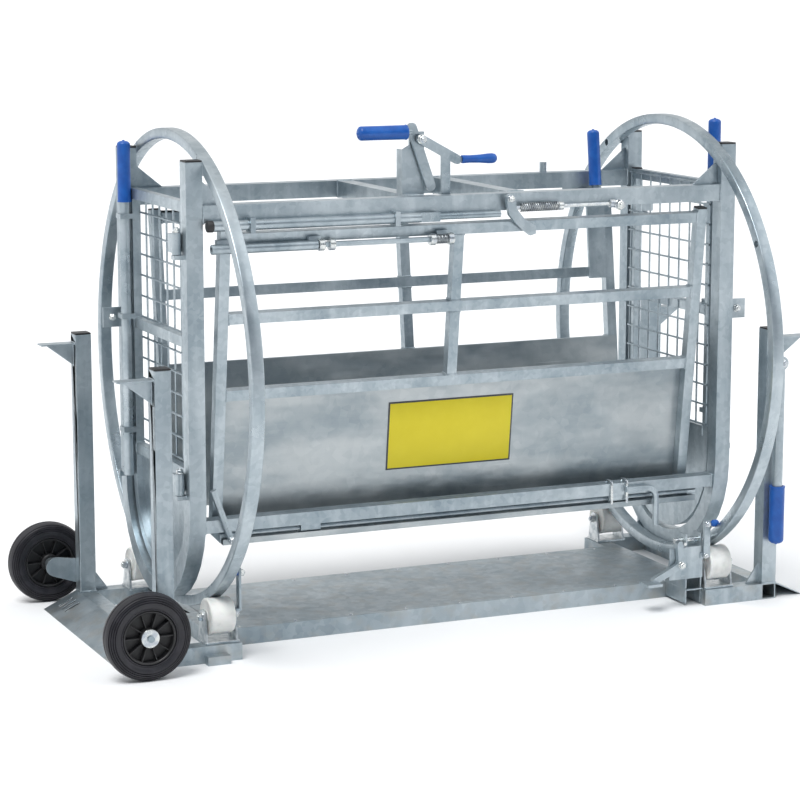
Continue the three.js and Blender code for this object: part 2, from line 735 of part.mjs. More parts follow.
function addGate(end, side) {
  const { y: latchY, lift } = LATCH_PLACES[side];
  const gate = new THREE.Group();
  gate.position.set(-GATE.hingeX, -GATE.hingeY, 0);
  end.add(gate);
  piece(gate, `gate_frame_${side}`, gateFrame(latchY), 'steel');
  piece(gate, `gate_mesh_${side}`, gateMesh(), 'zinc');
  piece(gate, `latch_tube_${side}`, latchTube(latchY), 'steel', [0, 0, lift]);
  const grip = sleeveGrip(LATCH.top - LATCH.grip, LATCH.radius + FIT, 16);
  piece(gate, `latch_grip_${side}`, grip, 'blue', [LATCH.x, latchY, LATCH.grip + lift]);
}

function addPanel(end, place) {
  const panel = new THREE.Group();
  panel.position.set(0, -PANEL.hingeY, PANEL.hingeZ);
  panel.rotation.x = THREE.MathUtils.degToRad(PANEL.lean);
  end.add(panel);
  piece(panel, `panel_frame_${place}`, panelFrame(), 'steel');
  piece(panel, `panel_sheet_${place}`, panelSheet(), 'sheet');
  if (place === 'rear') {
    piece(panel, 'rear_handle', rearHandle(), 'steel');
    piece(panel, 'rear_grip', rearGrip(), 'blue');
  }
}

function addRotor(parent) {
  for (const side of ['left', 'right']) {
    const end = endGroup(parent, side);
    piece(end, `rotor_frame_${side}`, rotorFrame(LATCH_PLACES[side].lift), 'steel');
    addGate(end, side);
  }
  piece(parent, 'hoop_left', hoop('left'), 'steel', [FIT - ROTOR.plane, 0, ROTOR.z]);
  piece(parent, 'hoop_right', hoop('right'), 'steel', [ROTOR.hoopInner, 0, ROTOR.z]);
  piece(parent, 'top_rail_front', topRail(-1), 'steel');
  piece(parent, 'top_rail_rear', topRail(1), 'steel');
  for (const [place, side] of [['front', 'left'], ['rear', 'right']]) {
    const half = endGroup(parent, side);
    piece(half, `bottom_rail_${place}`, bottomRail(), 'steel');
    addPanel(half, place);
  }
  piece(parent, 'cross_member_left', crossMember(-CROSS_X, true), 'steel');
  piece(parent, 'cross_member_right', crossMember(CROSS_X, false), 'steel');
}

function addLevers(parent) {
  const squeeze = new THREE.Group();
  squeeze.position.set(SQUEEZE.x, 0, SQUEEZE.z);
  parent.add(squeeze);
  piece(squeeze, 'squeeze_lever', squeezeLever(), 'steel');
  const grip = piece(squeeze, 'squeeze_grip', sleeveGrip(126, 7 + FIT, 17), 'blue');
  grip.position.set(126 - SQUEEZE.gripReach, SQUEEZE.y, SQUEEZE.gripZ);
  grip.rotation.y = -Math.PI / 2;
  piece(squeeze, 'release_lever', releaseLever(), 'steel');
  piece(squeeze, 'release_grip', releaseGrip(), 'blue');
  piece(parent, 'pull_rod', pullRod(), 'steel');
  piece(parent, 'trigger_lever', triggerLever(), 'zinc', [TRIGGER.x, 0, TRIGGER.z]);
}

const crate = new THREE.Group();
addBase(crate);
addWheels(crate);
addLock(crate);
addHandles(crate);
addRotor(crate);
addLevers(crate);

export default crate;
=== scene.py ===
# A sheep turnover squeeze crate: a welded cage that rolls between two hoops on a low galvanised base.
# Sizes are in millimetres in each section and become metres when a mesh is laid in place.
import math

import bmesh
import bpy
from mathutils import Matrix, Vector


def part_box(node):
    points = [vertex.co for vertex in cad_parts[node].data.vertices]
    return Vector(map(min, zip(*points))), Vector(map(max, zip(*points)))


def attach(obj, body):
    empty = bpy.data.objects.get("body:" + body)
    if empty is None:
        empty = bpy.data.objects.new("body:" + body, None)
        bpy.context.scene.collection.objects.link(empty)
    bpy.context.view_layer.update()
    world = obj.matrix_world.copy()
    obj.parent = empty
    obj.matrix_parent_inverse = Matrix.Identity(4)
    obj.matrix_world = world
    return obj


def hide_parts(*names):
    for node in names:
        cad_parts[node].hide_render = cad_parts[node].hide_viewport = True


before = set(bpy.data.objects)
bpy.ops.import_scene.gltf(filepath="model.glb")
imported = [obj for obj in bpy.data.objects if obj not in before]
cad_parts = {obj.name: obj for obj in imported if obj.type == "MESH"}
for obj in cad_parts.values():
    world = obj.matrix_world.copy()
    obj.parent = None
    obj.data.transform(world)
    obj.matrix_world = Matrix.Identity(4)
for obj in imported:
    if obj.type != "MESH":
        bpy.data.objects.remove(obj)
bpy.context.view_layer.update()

# ---- Base frame and ramps ----
# Square steel tube and folded sheet, welded and then hot-dip galvanised as one piece. The zinc
# leaves a cloudy bluish skin with soft flakes and runs, and the bottom edges collect yard dust.
MM = 0.001
LIGHT_ZINC = (0.60, 0.66, 0.69, 1)
DARK_ZINC = (0.23, 0.29, 0.33, 1)
DUST = (0.42, 0.40, 0.36, 1)
SHARP_CORNER = math.radians(32)
FLAT_ENOUGH = math.radians(0.4)
WELD_GAP = 0.00002


class Wire:
    """A socket in a node tree: arithmetic on it adds Math nodes, and node() adds any other node."""

    def __init__(self, tree, socket=None):
        self.tree = tree
        self.socket = socket

    def node(self, kind, settings, values, output=0):
        made = self.tree.nodes.new(kind)
        for name, setting in settings.items():
            setattr(made, name, setting)
        for key, value in values.items():
            if isinstance(value, Wire):
                self.tree.links.new(value.socket, made.inputs[key])
            else:
                made.inputs[key].default_value = value
        return Wire(self.tree, made.outputs[output])

    def sum(self, operation, first, second):
        return self.node("ShaderNodeMath", {"operation": operation}, {0: first, 1: second})

    def __add__(self, other):
        return self.sum("ADD", self, other)

    def __sub__(self, other):
        return self.sum("SUBTRACT", self, other)

    def __rsub__(self, other):
        return self.sum("SUBTRACT", other, self)

    def __mul__(self, other):
        return self.sum("MULTIPLY", self, other)

    __radd__ = __add__
    __rmul__ = __mul__

    def step(self, start, end):
        settings = {"interpolation_type": "SMOOTHSTEP"}
        return self.node("ShaderNodeMapRange", settings, {"Value": self, "From Min": start, "From Max": end})

    def blend(self, first, second):
        return self.node("ShaderNodeMix", {"data_type": "RGBA"}, {0: self, 6: first, 7: second}, 2)

    def noise(self, scale, detail=3.0):
        values = {"Vector": self, "Scale": scale, "Detail": detail, "Roughness": 0.55}
        return self.node("ShaderNodeTexNoise", {}, values)

    def stretched(self, scale):
        return self.node("ShaderNodeMapping", {}, {"Vector": self, "Scale": scale})


def surface(name, metallic):
    """A new material: its shader node and a wire that carries the piece's own coordinates."""
    material = bpy.data.materials.new(name)
    material.use_nodes = True
    shader = material.node_tree.nodes["Principled BSDF"]
    shader.inputs["Metallic"].default_value = metallic
    place = Wire(material.node_tree).node("ShaderNodeTexCoord", {}, {}, "Object")
    return material, shader, place


def wear(shader, place, colour, roughness, height, depth):
    """Feeds a finish's colour, roughness and relief, which is depth metres deep, to its shader."""
    bump = place.node("ShaderNodeBump", {}, {"Height": height, "Strength": 0.6, "Distance": depth})
    for name, wire in {"Base Color": colour, "Roughness": roughness, "Normal": bump}.items():
        place.tree.links.new(wire.socket, shader.inputs[name])


def galvanised(name, flake, cloud, run, shine, dusty):
    """Dipped zinc: flakes flake metres wide, clouds cloud metres wide and runs down the surface."""
    material, shader, place = surface(name, 0.88)
    shifted = place.node("ShaderNodeVectorMath", {"operation": "MULTIPLY_ADD"},
                         {0: place.node("ShaderNodeTexNoise", {}, {"Vector": place, "Scale": 40.0}, 1),
                          1: (0.02, 0.02, 0.02), 2: place})
    cells = shifted.node("ShaderNodeTexVoronoi", {}, {"Vector": shifted, "Scale": 1 / flake}, "Color")
    flakes = cells.node("ShaderNodeSeparateColor", {}, {"Color": cells})
    clouds = place.noise(1 / cloud, 4.0).step(0.3, 0.7)
    runs = place.stretched((1, 1, 0.12)).noise(1 / run).step(0.42, 0.75)
    fine = place.noise(900.0, 2.0)
    patches = place.noise(0.3 / cloud, 2.0).step(0.36, 0.64)
    tone = clouds * 0.3 + patches * 0.28 + flakes * 0.16 + runs * 0.26
    colour = tone.blend(DARK_ZINC, LIGHT_ZINC)
    if dusty:
        height = place.node("ShaderNodeSeparateXYZ", {}, {"Vector": place}, "Z")
        grime = (1 - height.step(0.0, 0.11)) * place.noise(22.0, 5.0).step(0.42, 0.72)
        colour = (grime * 0.55).blend(colour, DUST)
    roughness = shine + clouds * 0.13 - flakes * 0.08 + fine * 0.05
    wear(shader, place, colour, roughness, patches * 2.0 + flakes * 0.15 + runs * 0.9 + fine * 0.2, 0.0005)
    return material


def new_tree(name, kinds):
    """A Geometry Nodes tree with the named inputs in kinds: a first wire, and a wire for each input."""
    tree = bpy.data.node_groups.new(name, "GeometryNodeTree")
    kinds = {"Geometry": "Geometry", **kinds}
    for key, kind in kinds.items():
        tree.interface.new_socket(key, in_out="INPUT", socket_type="NodeSocket" + kind)
    tree.interface.new_socket("Geometry", in_out="OUTPUT", socket_type="NodeSocketGeometry")
    start = Wire(tree)
    return start, {key: start.node("NodeGroupInput", {}, {}, key) for key in kinds}


def finish_tree(last):
    """Links a tree's last geometry to its output."""
    end = last.tree.nodes.new("NodeGroupOutput")
    last.tree.links.new(last.socket, end.inputs["Geometry"])
    return last.tree


def soft_corners():
    """A tree that joins a CAD part's loose triangles and shades its round faces smooth."""
    start, given = new_tree("soft corners", {"Corner": "Float"})
    merged = start.node("GeometryNodeMergeByDistance", {},
                        {"Geometry": given["Geometry"], "Distance": WELD_GAP})
    smooth = start.node("GeometryNodeSetShadeSmooth", {}, {"Geometry": merged, "Shade Smooth": True})
    bend = start.node("GeometryNodeInputMeshEdgeAngle", {}, {})
    sharp = start.node("FunctionNodeCompare", {"operation": "GREATER_THAN"}, {0: bend, 1: given["Corner"]})
    return finish_tree(start.node("GeometryNodeSetShadeSmooth", {"domain": "EDGE"},
                                  {"Geometry": smooth, "Selection": sharp, "Shade Smooth": False}))


def setting(modifier, name, value):
    """Sets a Geometry Nodes modifier's input, found by its name, through its identifier."""
    for socket in modifier.node_group.interface.items_tree:
        if socket.in_out == "INPUT" and socket.name == name:
            modifier[socket.identifier] = value


SOFT_CORNERS = soft_corners()


def coat(names, material, edge):
    """Gives CAD parts their finish, and rounds their corners by edge millimetres."""
    for name in names:
        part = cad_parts[name]
        part.data.materials.clear()
        part.data.materials.append(material)
        corners = part.modifiers.new("corners", "NODES")
        corners.node_group = SOFT_CORNERS
        setting(corners, "Corner", SHARP_CORNER)
        flats = part.modifiers.new("flats", "DECIMATE")
        flats.decimate_type = "DISSOLVE"
        flats.angle_limit = FLAT_ENOUGH
        rounding = part.modifiers.new("rounding", "BEVEL")
        rounding.width = edge * MM
        rounding.segments = 2
        rounding.limit_method = "ANGLE"
        rounding.angle_limit = SHARP_CORNER
        rounding.use_clamp_overlap = True
        rounding.harden_normals = True


def limits(name):
    """The lowest and highest corner of a CAD part, in millimetres."""
    low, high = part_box(name)
    return low / MM, high / MM


base_tube = galvanised("galvanised base tube", 0.011, 0.09, 0.03, 0.36, True)
base_sheet = galvanised("galvanised floor sheet", 0.016, 0.2, 0.12, 0.38, True)
coat(["base_end_frame_left", "base_end_frame_right"], base_tube, 1.6)
coat(["base_platform", "ramp_left", "ramp_right"], base_sheet, 0.8)

# ---- Weld beads of the base ----
# Every joint is run round with a hand-laid bead about 4 mm wide. The beads are dipped with the
# steel, so they have its finish, with a lumpy surface of their own.
BEAD_RADIUS, BEAD_SIDES = 2.3, 7
BEAD_STEP, BEAD_LUMP = 0.0022, 0.0024


def finish_made(geometry, material):
    """Ends a tree with real geometry in its material."""
    whole = geometry.node("GeometryNodeRealizeInstances", {}, {"Geometry": geometry})
    settings = {"Geometry": whole, "Material": material}
    return finish_tree(whole.node("GeometryNodeSetMaterial", {}, settings))


def bead_tree():
    """A tree that runs a round bar along edges, with a surface that may be lumpy like a bead's."""
    start, given = new_tree("weld bead", {"Radius": "Float", "Step": "Float", "Lump": "Float",
                                          "Material": "Material"})
    line = start.node("GeometryNodeMeshToCurve", {}, {"Mesh": given["Geometry"]})
    even = start.node("GeometryNodeResampleCurve", {"mode": "LENGTH"},
                      {"Curve": line, "Length": given["Step"]})
    ring = start.node("GeometryNodeCurvePrimitiveCircle", {},
                      {"Resolution": BEAD_SIDES, "Radius": given["Radius"]})
    tube = start.node("GeometryNodeCurveToMesh", {},
                      {"Curve": even, "Profile Curve": ring, "Fill Caps": True})
    grain = start.node("ShaderNodeTexNoise", {}, {"Scale": 260.0, "Detail": 1.0})
    swell = (grain - 0.5) * given["Lump"]
    out = start.node("GeometryNodeInputNormal", {}, {})
    push = start.node("ShaderNodeVectorMath", {"operation": "SCALE"}, {0: out, "Scale": swell})
    lumpy = start.node("GeometryNodeSetPosition", {}, {"Geometry": tube, "Offset": push})
    return finish_made(lumpy, given["Material"])


def run_tree(tree, mesh, values):
    """Runs a tree once over a mesh, with its inputs set, and returns the plain mesh it makes."""
    bench = bpy.data.objects.new("bench", mesh)
    bpy.context.scene.collection.objects.link(bench)
    modifier = bench.modifiers.new("make", "NODES")
    modifier.node_group = tree
    for name, value in values.items():
        setting(modifier, name, value)
    graph = bpy.context.evaluated_depsgraph_get()
    made = bpy.data.meshes.new_from_object(bench.evaluated_get(graph), depsgraph=graph)
    bpy.data.objects.remove(bench)
    return made


def lines(paths):
    """A mesh of edges only, in metres, through paths of points in millimetres."""
    points, edges = [], []
    for path in paths:
        first = len(points)
        points += [tuple(Vector(point) * MM) for point in path]
        edges += [(index, index + 1) for index in range(first, len(points) - 1)]
    mesh = bpy.data.meshes.new("lines")
    mesh.from_pydata(points, edges, [])
    return mesh


def shade(mesh):
    """Shades a made mesh smooth, with its corners kept sharp."""
    mesh.shade_smooth()
    mesh.set_sharp_from_angle(angle=SHARP_CORNER)
    return mesh


def fit(name, mesh, body, slot, *stands_for):
    """Puts a finished mesh in the crate: the body it rides on, its slot (not used), and the CAD parts it is.
    """
    piece = bpy.data.objects.new(name, shade(mesh))
    bpy.context.scene.collection.objects.link(piece)
    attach(piece, body)
    if stands_for:
        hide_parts(*stands_for)


def ring_round(axis, place, first, second):
    """The closed path round a tube's end: axis is across the cut, at place, between two spans."""
    corners = [(first[0], second[0]), (first[1], second[0]),
               (first[1], second[1]), (first[0], second[1])]
    path = []
    for u, v in corners + corners[:1]:
        point = [u, v]
        point.insert("xyz".index(axis), place)
        path.append(tuple(point))
    return path


BEADS = bead_tree()
bead_zinc = galvanised("galvanised weld", 0.004, 0.03, 0.02, 0.34, False)


def bead(paths):
    """A mesh of weld beads along paths."""
    values = {"Radius": BEAD_RADIUS * MM, "Step": BEAD_STEP, "Lump": BEAD_LUMP, "Material": bead_zinc}
    return run_tree(BEADS, lines(paths), values)


def weld(name, paths, body):
    """Weld beads along paths, as a piece of their own."""
    fit(name, bead(paths), body, "galvanised_tube")


POSTS = ["post_left_front", "post_left_rear", "post_right_front", "post_right_rear"]
BRACKETS = ["roller_bracket_left_front", "roller_bracket_left_rear",
            "roller_bracket_right_front", "roller_bracket_right_rear"]
POST_X, POST_Y, POST_HALF, POST_TOP = 790, 300, 20, 680
BASE_TOP = 41.5
base_seams = []
for sign_x in (-1, 1):
    for sign_y in (-1, 1):
        across = (sign_x * POST_X - POST_HALF, sign_x * POST_X + POST_HALF)
        along = (sign_y * POST_Y - POST_HALF, sign_y * POST_Y + POST_HALF)
        base_seams.append(ring_round("z", BASE_TOP, across, along))
for name in BRACKETS:
    low, high = limits(name)
    base_seams.append(ring_round("z", BASE_TOP, (low.x + 4, high.x - 4), (low.y, high.y)))
for side in ("left", "right"):
    low, high = limits("base_end_frame_" + side)
    inner = high.x if side == "left" else low.x
    for y in (-200, 200):
        base_seams.append([(inner, y, 3), (inner, y, 38)])
weld("base_welds", base_seams, "base")

# ---- Posts ----
# Four 40 mm square posts stand on the base ends, each with a pressed-in black plastic cap and a
# welded peg plate for a hurdle. They are cut from the same tube as the base.
post_tube = galvanised("galvanised post tube", 0.012, 0.16, 0.035, 0.35, True)
coat(POSTS, post_tube, 1.8)


def plastic(name, colour, paler, roughness):
    """Moulded plastic with a fine grain and dull rubbed patches."""
    material, shader, place = surface(name, 0.0)
    patches = place.noise(28.0, 5.0).step(0.45, 0.8)
    grain = place.noise(1400.0, 2.0)
    wear(shader, place, (patches * 0.5 + grain * 0.15).blend(colour, paler),
         roughness + patches * 0.12 + grain * 0.05, grain * 0.5 + patches * 0.3, 0.00015)
    return material


black_plastic = plastic("black cap plastic", (0.012, 0.012, 0.013, 1), (0.05, 0.05, 0.052, 1), 0.42)


def mesh_of(built, material):
    """A mesh of what has been built, in its material."""
    mesh = bpy.data.meshes.new("built")
    built.to_mesh(mesh)
    mesh.materials.append(material)
    return mesh


def slab(material, x, y, z, edge):
    """A mesh of a flat part with rounded corners, between two limits on each axis."""
    built = bmesh.new()
    bmesh.ops.create_cube(built, size=1)
    size = [abs(span[1] - span[0]) for span in (x, y, z)]
    middle = [(span[0] + span[1]) / 2 for span in (x, y, z)]
    lay = Matrix.Translation(Vector(middle) * MM) @ Matrix.Diagonal((*(Vector(size) * MM), 1))
    bmesh.ops.transform(built, matrix=lay, verts=built.verts)
    bmesh.ops.bevel(built, geom=built.edges[:], offset=edge * MM, segments=2, profile=0.5,
                    affect="EDGES")
    return mesh_of(built, material)


def together(meshes):
    """One mesh out of several, with the first one's materials."""
    built = bmesh.new()
    for mesh in meshes:
        built.from_mesh(mesh)
    made = bpy.data.meshes.new("together")
    built.to_mesh(made)
    for material in meshes[0].materials:
        made.materials.append(material)
    return made


def caps(spots, half, rise):
    """Square plugs, rise high, on tube ends whose middle points are in spots."""
    plugs = []
    for x, y, z in spots:
        plugs.append(slab(black_plastic, (x - half, x + half), (y - half, y + half), (z, z + rise), 1.1))
    return together(plugs)


CAP_HALF, CAP_RISE = 19.6, 4
post_tops = [(x, y, POST_TOP) for x in (-POST_X, POST_X) for y in (-POST_Y, POST_Y)]
fit("post_caps", caps(post_tops, CAP_HALF, CAP_RISE), "base", "black_plastic")

# ---- Bolts, nuts and washers ----
# Zinc-plated hexagon fasteners: a washer under a chamfered hexagon with the thread's end showing.
# One is turned up and set at every bolted joint, and low rivets run along the floor sheet's edges.
ZINC_PALE = (0.72, 0.74, 0.72, 1)
ZINC_BLUE = (0.44, 0.48, 0.53, 1)
RIVET_RADIUS, RIVET_FLATNESS = 6, 0.36
SMALL = 1e-6


def plated(name, pale, deep, shine):
    """Bright electroplated zinc with a faint bluish cast and dull fingerprints."""
    material, shader, place = surface(name, 0.92)
    cast = place.noise(60.0, 3.0).step(0.35, 0.7)
    smear = place.noise(340.0, 4.0)
    wear(shader, place, cast.blend(pale, deep), shine + smear * 0.12, smear * 0.2 + cast * 0.3, 0.00005)
    return material


def pattern(name, built, material):
    """An object that bolts() repeats: a small piece seated at the origin and facing +Z."""
    piece = bpy.data.objects.new(name, mesh_of(built, material))
    bpy.context.scene.collection.objects.link(piece)
    return piece


def fastener(material):
    """An M8 hexagon on its washer, with the thread's end above it."""
    built = bmesh.new()
    washer, head, thread = (8.6, 0, 1.6, 20), (7.5, 1.6, 6.4, 6), (4, 8, 2.6, 12)
    for radius, start, height, sides in (washer, head, thread):
        made = bmesh.ops.create_cone(built, cap_ends=True, segments=sides, radius1=radius * MM,
                                     radius2=radius * MM, depth=height * MM)
        bmesh.ops.translate(built, verts=made["verts"], vec=(0, 0, (start + height / 2) * MM))
        level = (start + height) * MM - SMALL
        top = [edge for edge in built.edges
               if all(vert in made["verts"] and vert.co.z > level for vert in edge.verts)]
        bmesh.ops.bevel(built, geom=top, offset=0.7 * MM, segments=1, profile=0.5, affect="EDGES")
    return pattern("fastener_pattern", built, material)


def fastener_tree():
    """A tree that sets one pattern piece on each point, turned to face the point's own direction."""
    start, given = new_tree("fasteners", {"Piece": "Object", "Material": "Material"})
    shape = start.node("GeometryNodeObjectInfo", {}, {"Object": given["Piece"]}, "Geometry")
    facing = start.node("GeometryNodeInputNamedAttribute", {"data_type": "FLOAT_VECTOR"},
                        {"Name": "facing"})
    size = start.node("GeometryNodeInputNamedAttribute", {"data_type": "FLOAT"}, {"Name": "size"})
    aim = start.node("FunctionNodeAlignRotationToVector", {"axis": "Z"}, {"Vector": facing})
    placed = start.node("GeometryNodeInstanceOnPoints", {},
                        {"Points": given["Geometry"], "Instance": shape, "Rotation": aim, "Scale": size})
    return finish_made(placed, given["Material"])


def rivet(material):
    """A low domed rivet head."""
    built = bmesh.new()
    bmesh.ops.create_uvsphere(built, u_segments=16, v_segments=8, radius=RIVET_RADIUS * MM)
    below = [vert for vert in built.verts if vert.co.z < -SMALL]
    bmesh.ops.delete(built, geom=below, context="VERTS")
    rim = [edge for edge in built.edges if edge.is_boundary]
    bmesh.ops.holes_fill(built, edges=rim)
    bmesh.ops.scale(built, vec=(1, 1, RIVET_FLATNESS), verts=built.verts)
    return pattern("rivet_pattern", built, material)


bright_zinc = plated("bright zinc plate", ZINC_PALE, ZINC_BLUE, 0.2)
FASTENERS = fastener_tree()
hexagon = fastener(bright_zinc)
domed = rivet(bright_zinc)


def bolts(name, spots, body, shape=hexagon):
    """Copies of a shape at spots: a seat point in millimetres, the way it faces, and its scale."""
    mesh = bpy.data.meshes.new("seats")
    mesh.from_pydata([tuple(Vector(point) * MM) for point, _, _ in spots], [], [])
    mesh.attributes.new("facing", "FLOAT_VECTOR", "POINT")
    mesh.attributes.new("size", "FLOAT", "POINT")
    for index, (_, way, scale) in enumerate(spots):
        mesh.attributes["facing"].data[index].vector = way
        mesh.attributes["size"].data[index].value = scale
    values = {"Piece": shape, "Material": bright_zinc}
    fit(name, run_tree(FASTENERS, mesh, values), body, "zinc_plated")


low, high = limits("base_platform")
RIVET_COUNT, RIVET_INSET, RIVET_MARGIN = 9, 14, 40
rivets = []
for index in range(RIVET_COUNT):
    x = low.x + RIVET_MARGIN + (high.x - low.x - 2 * RIVET_MARGIN) * index / (RIVET_COUNT - 1)
    for y in (low.y + RIVET_INSET, high.y - RIVET_INSET):
        rivets.append(((x, y, high.z), (0, 0, 1), 0.8))
bolts("platform_rivets", rivets, "base", domed)

# ---- Transport wheels ----
# Two solid rubber tyres pressed on ribbed black plastic hubs, which turn on axle stubs at the left
# end. The sidewall has moulded rings, and a domed zinc cap covers each hub's bore.
RIBS = 10
TYRE_OUTLINE = [(62, 19), (63.5, 22.5), (65.5, 22.5), (66.5, 21.4), (70, 23.6), (76, 25), (80, 25),
                (81, 22.9), (82.4, 24.6), (84.6, 24.3), (85.6, 22), (87, 23.6), (89.2, 22.8),
                (90.2, 20.4), (91.6, 21.7), (93.6, 20.2), (94.4, 17.8), (95.8, 18.6), (98.2, 14),
                (99.5, 9), (100, 2.6), (98.7, 2), (98.7, 0)]
HUB_OUTLINE = [(61.9, -19), (61.9, 19), (60.5, 21), (58, 21), (56.5, 19.5), (56, 4), (22, 3.4),
               (21.5, 22), (20, 24), (8.3, 24), (8.3, -24), (20, -24), (21.5, -22), (22, -3.4),
               (56, -4), (56.5, -19.5), (58, -21), (60.5, -21)]
CAP_OUTLINE = [(0, 0), (21, 0), (21.3, 0.8), (20.6, 1.9), (16, 2.5), (0, 2.6)]


def aimed(seat, way):
    """The move that takes a shape standing on +Z at the origin to a seat in millimetres, facing way."""
    turn = Vector((0, 0, 1)).rotation_difference(Vector(way)).to_matrix().to_4x4()
    return Matrix.Translation(Vector(seat) * MM) @ turn


def turned(material, outline, sides, seat, way):
    """A lathe-turned mesh: outline is (radius, along) in millimetres from seat towards way.
    An outline that starts and ends on the axis is closed by its poles, any other closes on itself."""
    built = bmesh.new()
    rows = []
    for radius, along in outline:
        ring = []
        for index in range(sides):
            angle = 2 * math.pi * index / sides
            spot = (radius * math.cos(angle), radius * math.sin(angle), along)
            ring.append(built.verts.new(Vector(spot) * MM))
        rows.append(ring)
    closed = outline[0][0] > 0
    for first, second in zip(rows, rows[1:] + (rows[:1] if closed else [])):
        for index in range(sides):
            after = (index + 1) % sides
            built.faces.new((first[index], first[after], second[after], second[index]))
    bmesh.ops.remove_doubles(built, verts=built.verts, dist=1e-7)
    bmesh.ops.transform(built, matrix=aimed(seat, way), verts=built.verts)
    bmesh.ops.recalc_face_normals(built, faces=built.faces)
    return mesh_of(built, material)


def ring_tree():
    """A tree that repeats one pattern piece round the Z axis."""
    start, given = new_tree("ring of ribs", {"Count": "Int", "Material": "Material"})
    spots = start.node("GeometryNodePoints", {}, {"Count": given["Count"]})
    number = start.node("GeometryNodeInputIndex", {}, {})
    angle = number.sum("DIVIDE", number * (2 * math.pi), given["Count"])
    turn = start.node("ShaderNodeCombineXYZ", {}, {"Z": angle})
    rotation = start.node("FunctionNodeEulerToRotation", {}, {"Euler": turn})
    placed = start.node("GeometryNodeInstanceOnPoints", {},
                        {"Points": spots, "Instance": given["Geometry"], "Rotation": rotation})
    return finish_made(placed, given["Material"])


def rubber():
    """Black tyre rubber, greyed by dust in its low places and scuffed on its tread."""
    material, shader, place = surface("tyre rubber", 0.0)
    dust = place.noise(36.0, 6.0).step(0.42, 0.75)
    pores = place.noise(1100.0, 2.0)
    colour = (dust * 0.4 + pores * 0.1).blend((0.009, 0.009, 0.013, 1), (0.05, 0.047, 0.058, 1))
    wear(shader, place, colour, 0.4 + dust * 0.2 + pores * 0.06, pores * 0.8 + dust * 0.2, 0.0003)
    return material


tyre_rubber = rubber()
RING = ring_tree()
mirrored = [(radius, -along) for radius, along in reversed(TYRE_OUTLINE[:-1])]
RIB_SPAN, RIB_THICK = (20, 59), (-1.1, 1.1)
rib = together([slab(black_plastic, RIB_SPAN, RIB_THICK, along, 0.5)
                for along in ((3, 17.5), (-17.5, -3))])
ribs = run_tree(RING, rib, {"Count": RIBS, "Material": black_plastic})
for place_name, out in (("front", -1), ("rear", 1)):
    low, high = limits("wheel_tyre_" + place_name)
    middle = (low + high) / 2
    way = (0, out, 0)
    tyre = turned(tyre_rubber, TYRE_OUTLINE + mirrored, 96, middle, way)
    fit("tyre_" + place_name, tyre, "wheel_" + place_name, "black_rubber", "wheel_tyre_" + place_name)
    rim = turned(black_plastic, HUB_OUTLINE, 72, middle, way)
    fins = ribs.copy()
    fins.transform(aimed(middle, way))
    fit("hub_" + place_name, together([rim, fins]), "wheel_" + place_name, "black_plastic",
        "wheel_hub_" + place_name)
    cap_seat = middle + Vector((0, out * 24.2, 0))
    cap = turned(bright_zinc, CAP_OUTLINE, 48, cap_seat, way)
    fit("axle_washer_" + place_name, cap, "base", "zinc_plated")
    bolts("axle_nut_" + place_name, [((middle.x, middle.y + out * 26, middle.z), way, 0.55),
                                     ((middle.x, middle.y + out * 25, middle.z), way, 0.66)], "base")
coat(["wheel_arm_front", "wheel_arm_rear"], post_tube, 1.0)

# ---- Rollers ----
# Four turned white nylon rollers carry the hoops. Each runs on a pin between two cheeks, and its
# tread has greyed where the galvanised hoop rubs it.
ROLLER_OUTLINE = [(6.6, -30), (14, -30), (15, -28.4), (36, -28.4), (38, -29.6), (40.6, -29.2),
                  (42, -27.4), (42, -20), (41.2, -18), (41.2, 18), (42, 20), (42, 27.4), (40.6, 29.2),
                  (38, 29.6), (36, 28.4), (15, 28.4), (14, 30), (6.6, 30)]
PIN_REACH = 39


def nylon():
    """White nylon with turning marks, greyed by zinc from the hoop."""
    material, shader, place = surface("white nylon", 0.0)
    grime = place.noise(30.0, 6.0).step(0.4, 0.8)
    marks = place.stretched((900, 20, 20)).noise(1.0, 1.0)
    colour = (grime * 0.6).blend((0.82, 0.82, 0.79, 1), (0.46, 0.47, 0.46, 1))
    wear(shader, place, colour, 0.36 + grime * 0.2 + marks * 0.05, marks * 0.5 + grime * 0.3, 0.0002)
    shader.inputs["Subsurface Weight"].default_value = 0.06
    return material


white_nylon = nylon()
coat(BRACKETS, plated("dull zinc bracket", (0.74, 0.77, 0.78, 1), (0.42, 0.47, 0.5, 1), 0.3), 0.8)
pin_ends = []
CORNERS = {"lf": "left_front", "lr": "left_rear", "rf": "right_front", "rr": "right_rear"}
for short, place_name in CORNERS.items():
    low, high = limits("roller_" + place_name)
    middle = (low + high) / 2
    roller = turned(white_nylon, ROLLER_OUTLINE, 64, middle, (1, 0, 0))
    fit("nylon_roller_" + short, roller, "roller_" + short, "white_plastic", "roller_" + place_name)
    for way in (-1, 1):
        pin_ends.append(((middle.x + way * PIN_REACH, middle.y, middle.z), (way, 0, 0), 1.25))
bolts("roller_pin_nuts", pin_ends, "base")

# ---- Roll lock ----
# A folded housing on the right front corner guides a bolt that slides into a hoop hole. A foot
# pedal moves it, and a short hand lever with a blue knob stands beside it.
coat(["lock_housing"], base_tube, 0.7)
coat(["lock_pedal"], post_tube, 0.9)
coat(["lock_bolt"], bright_zinc, 0.5)


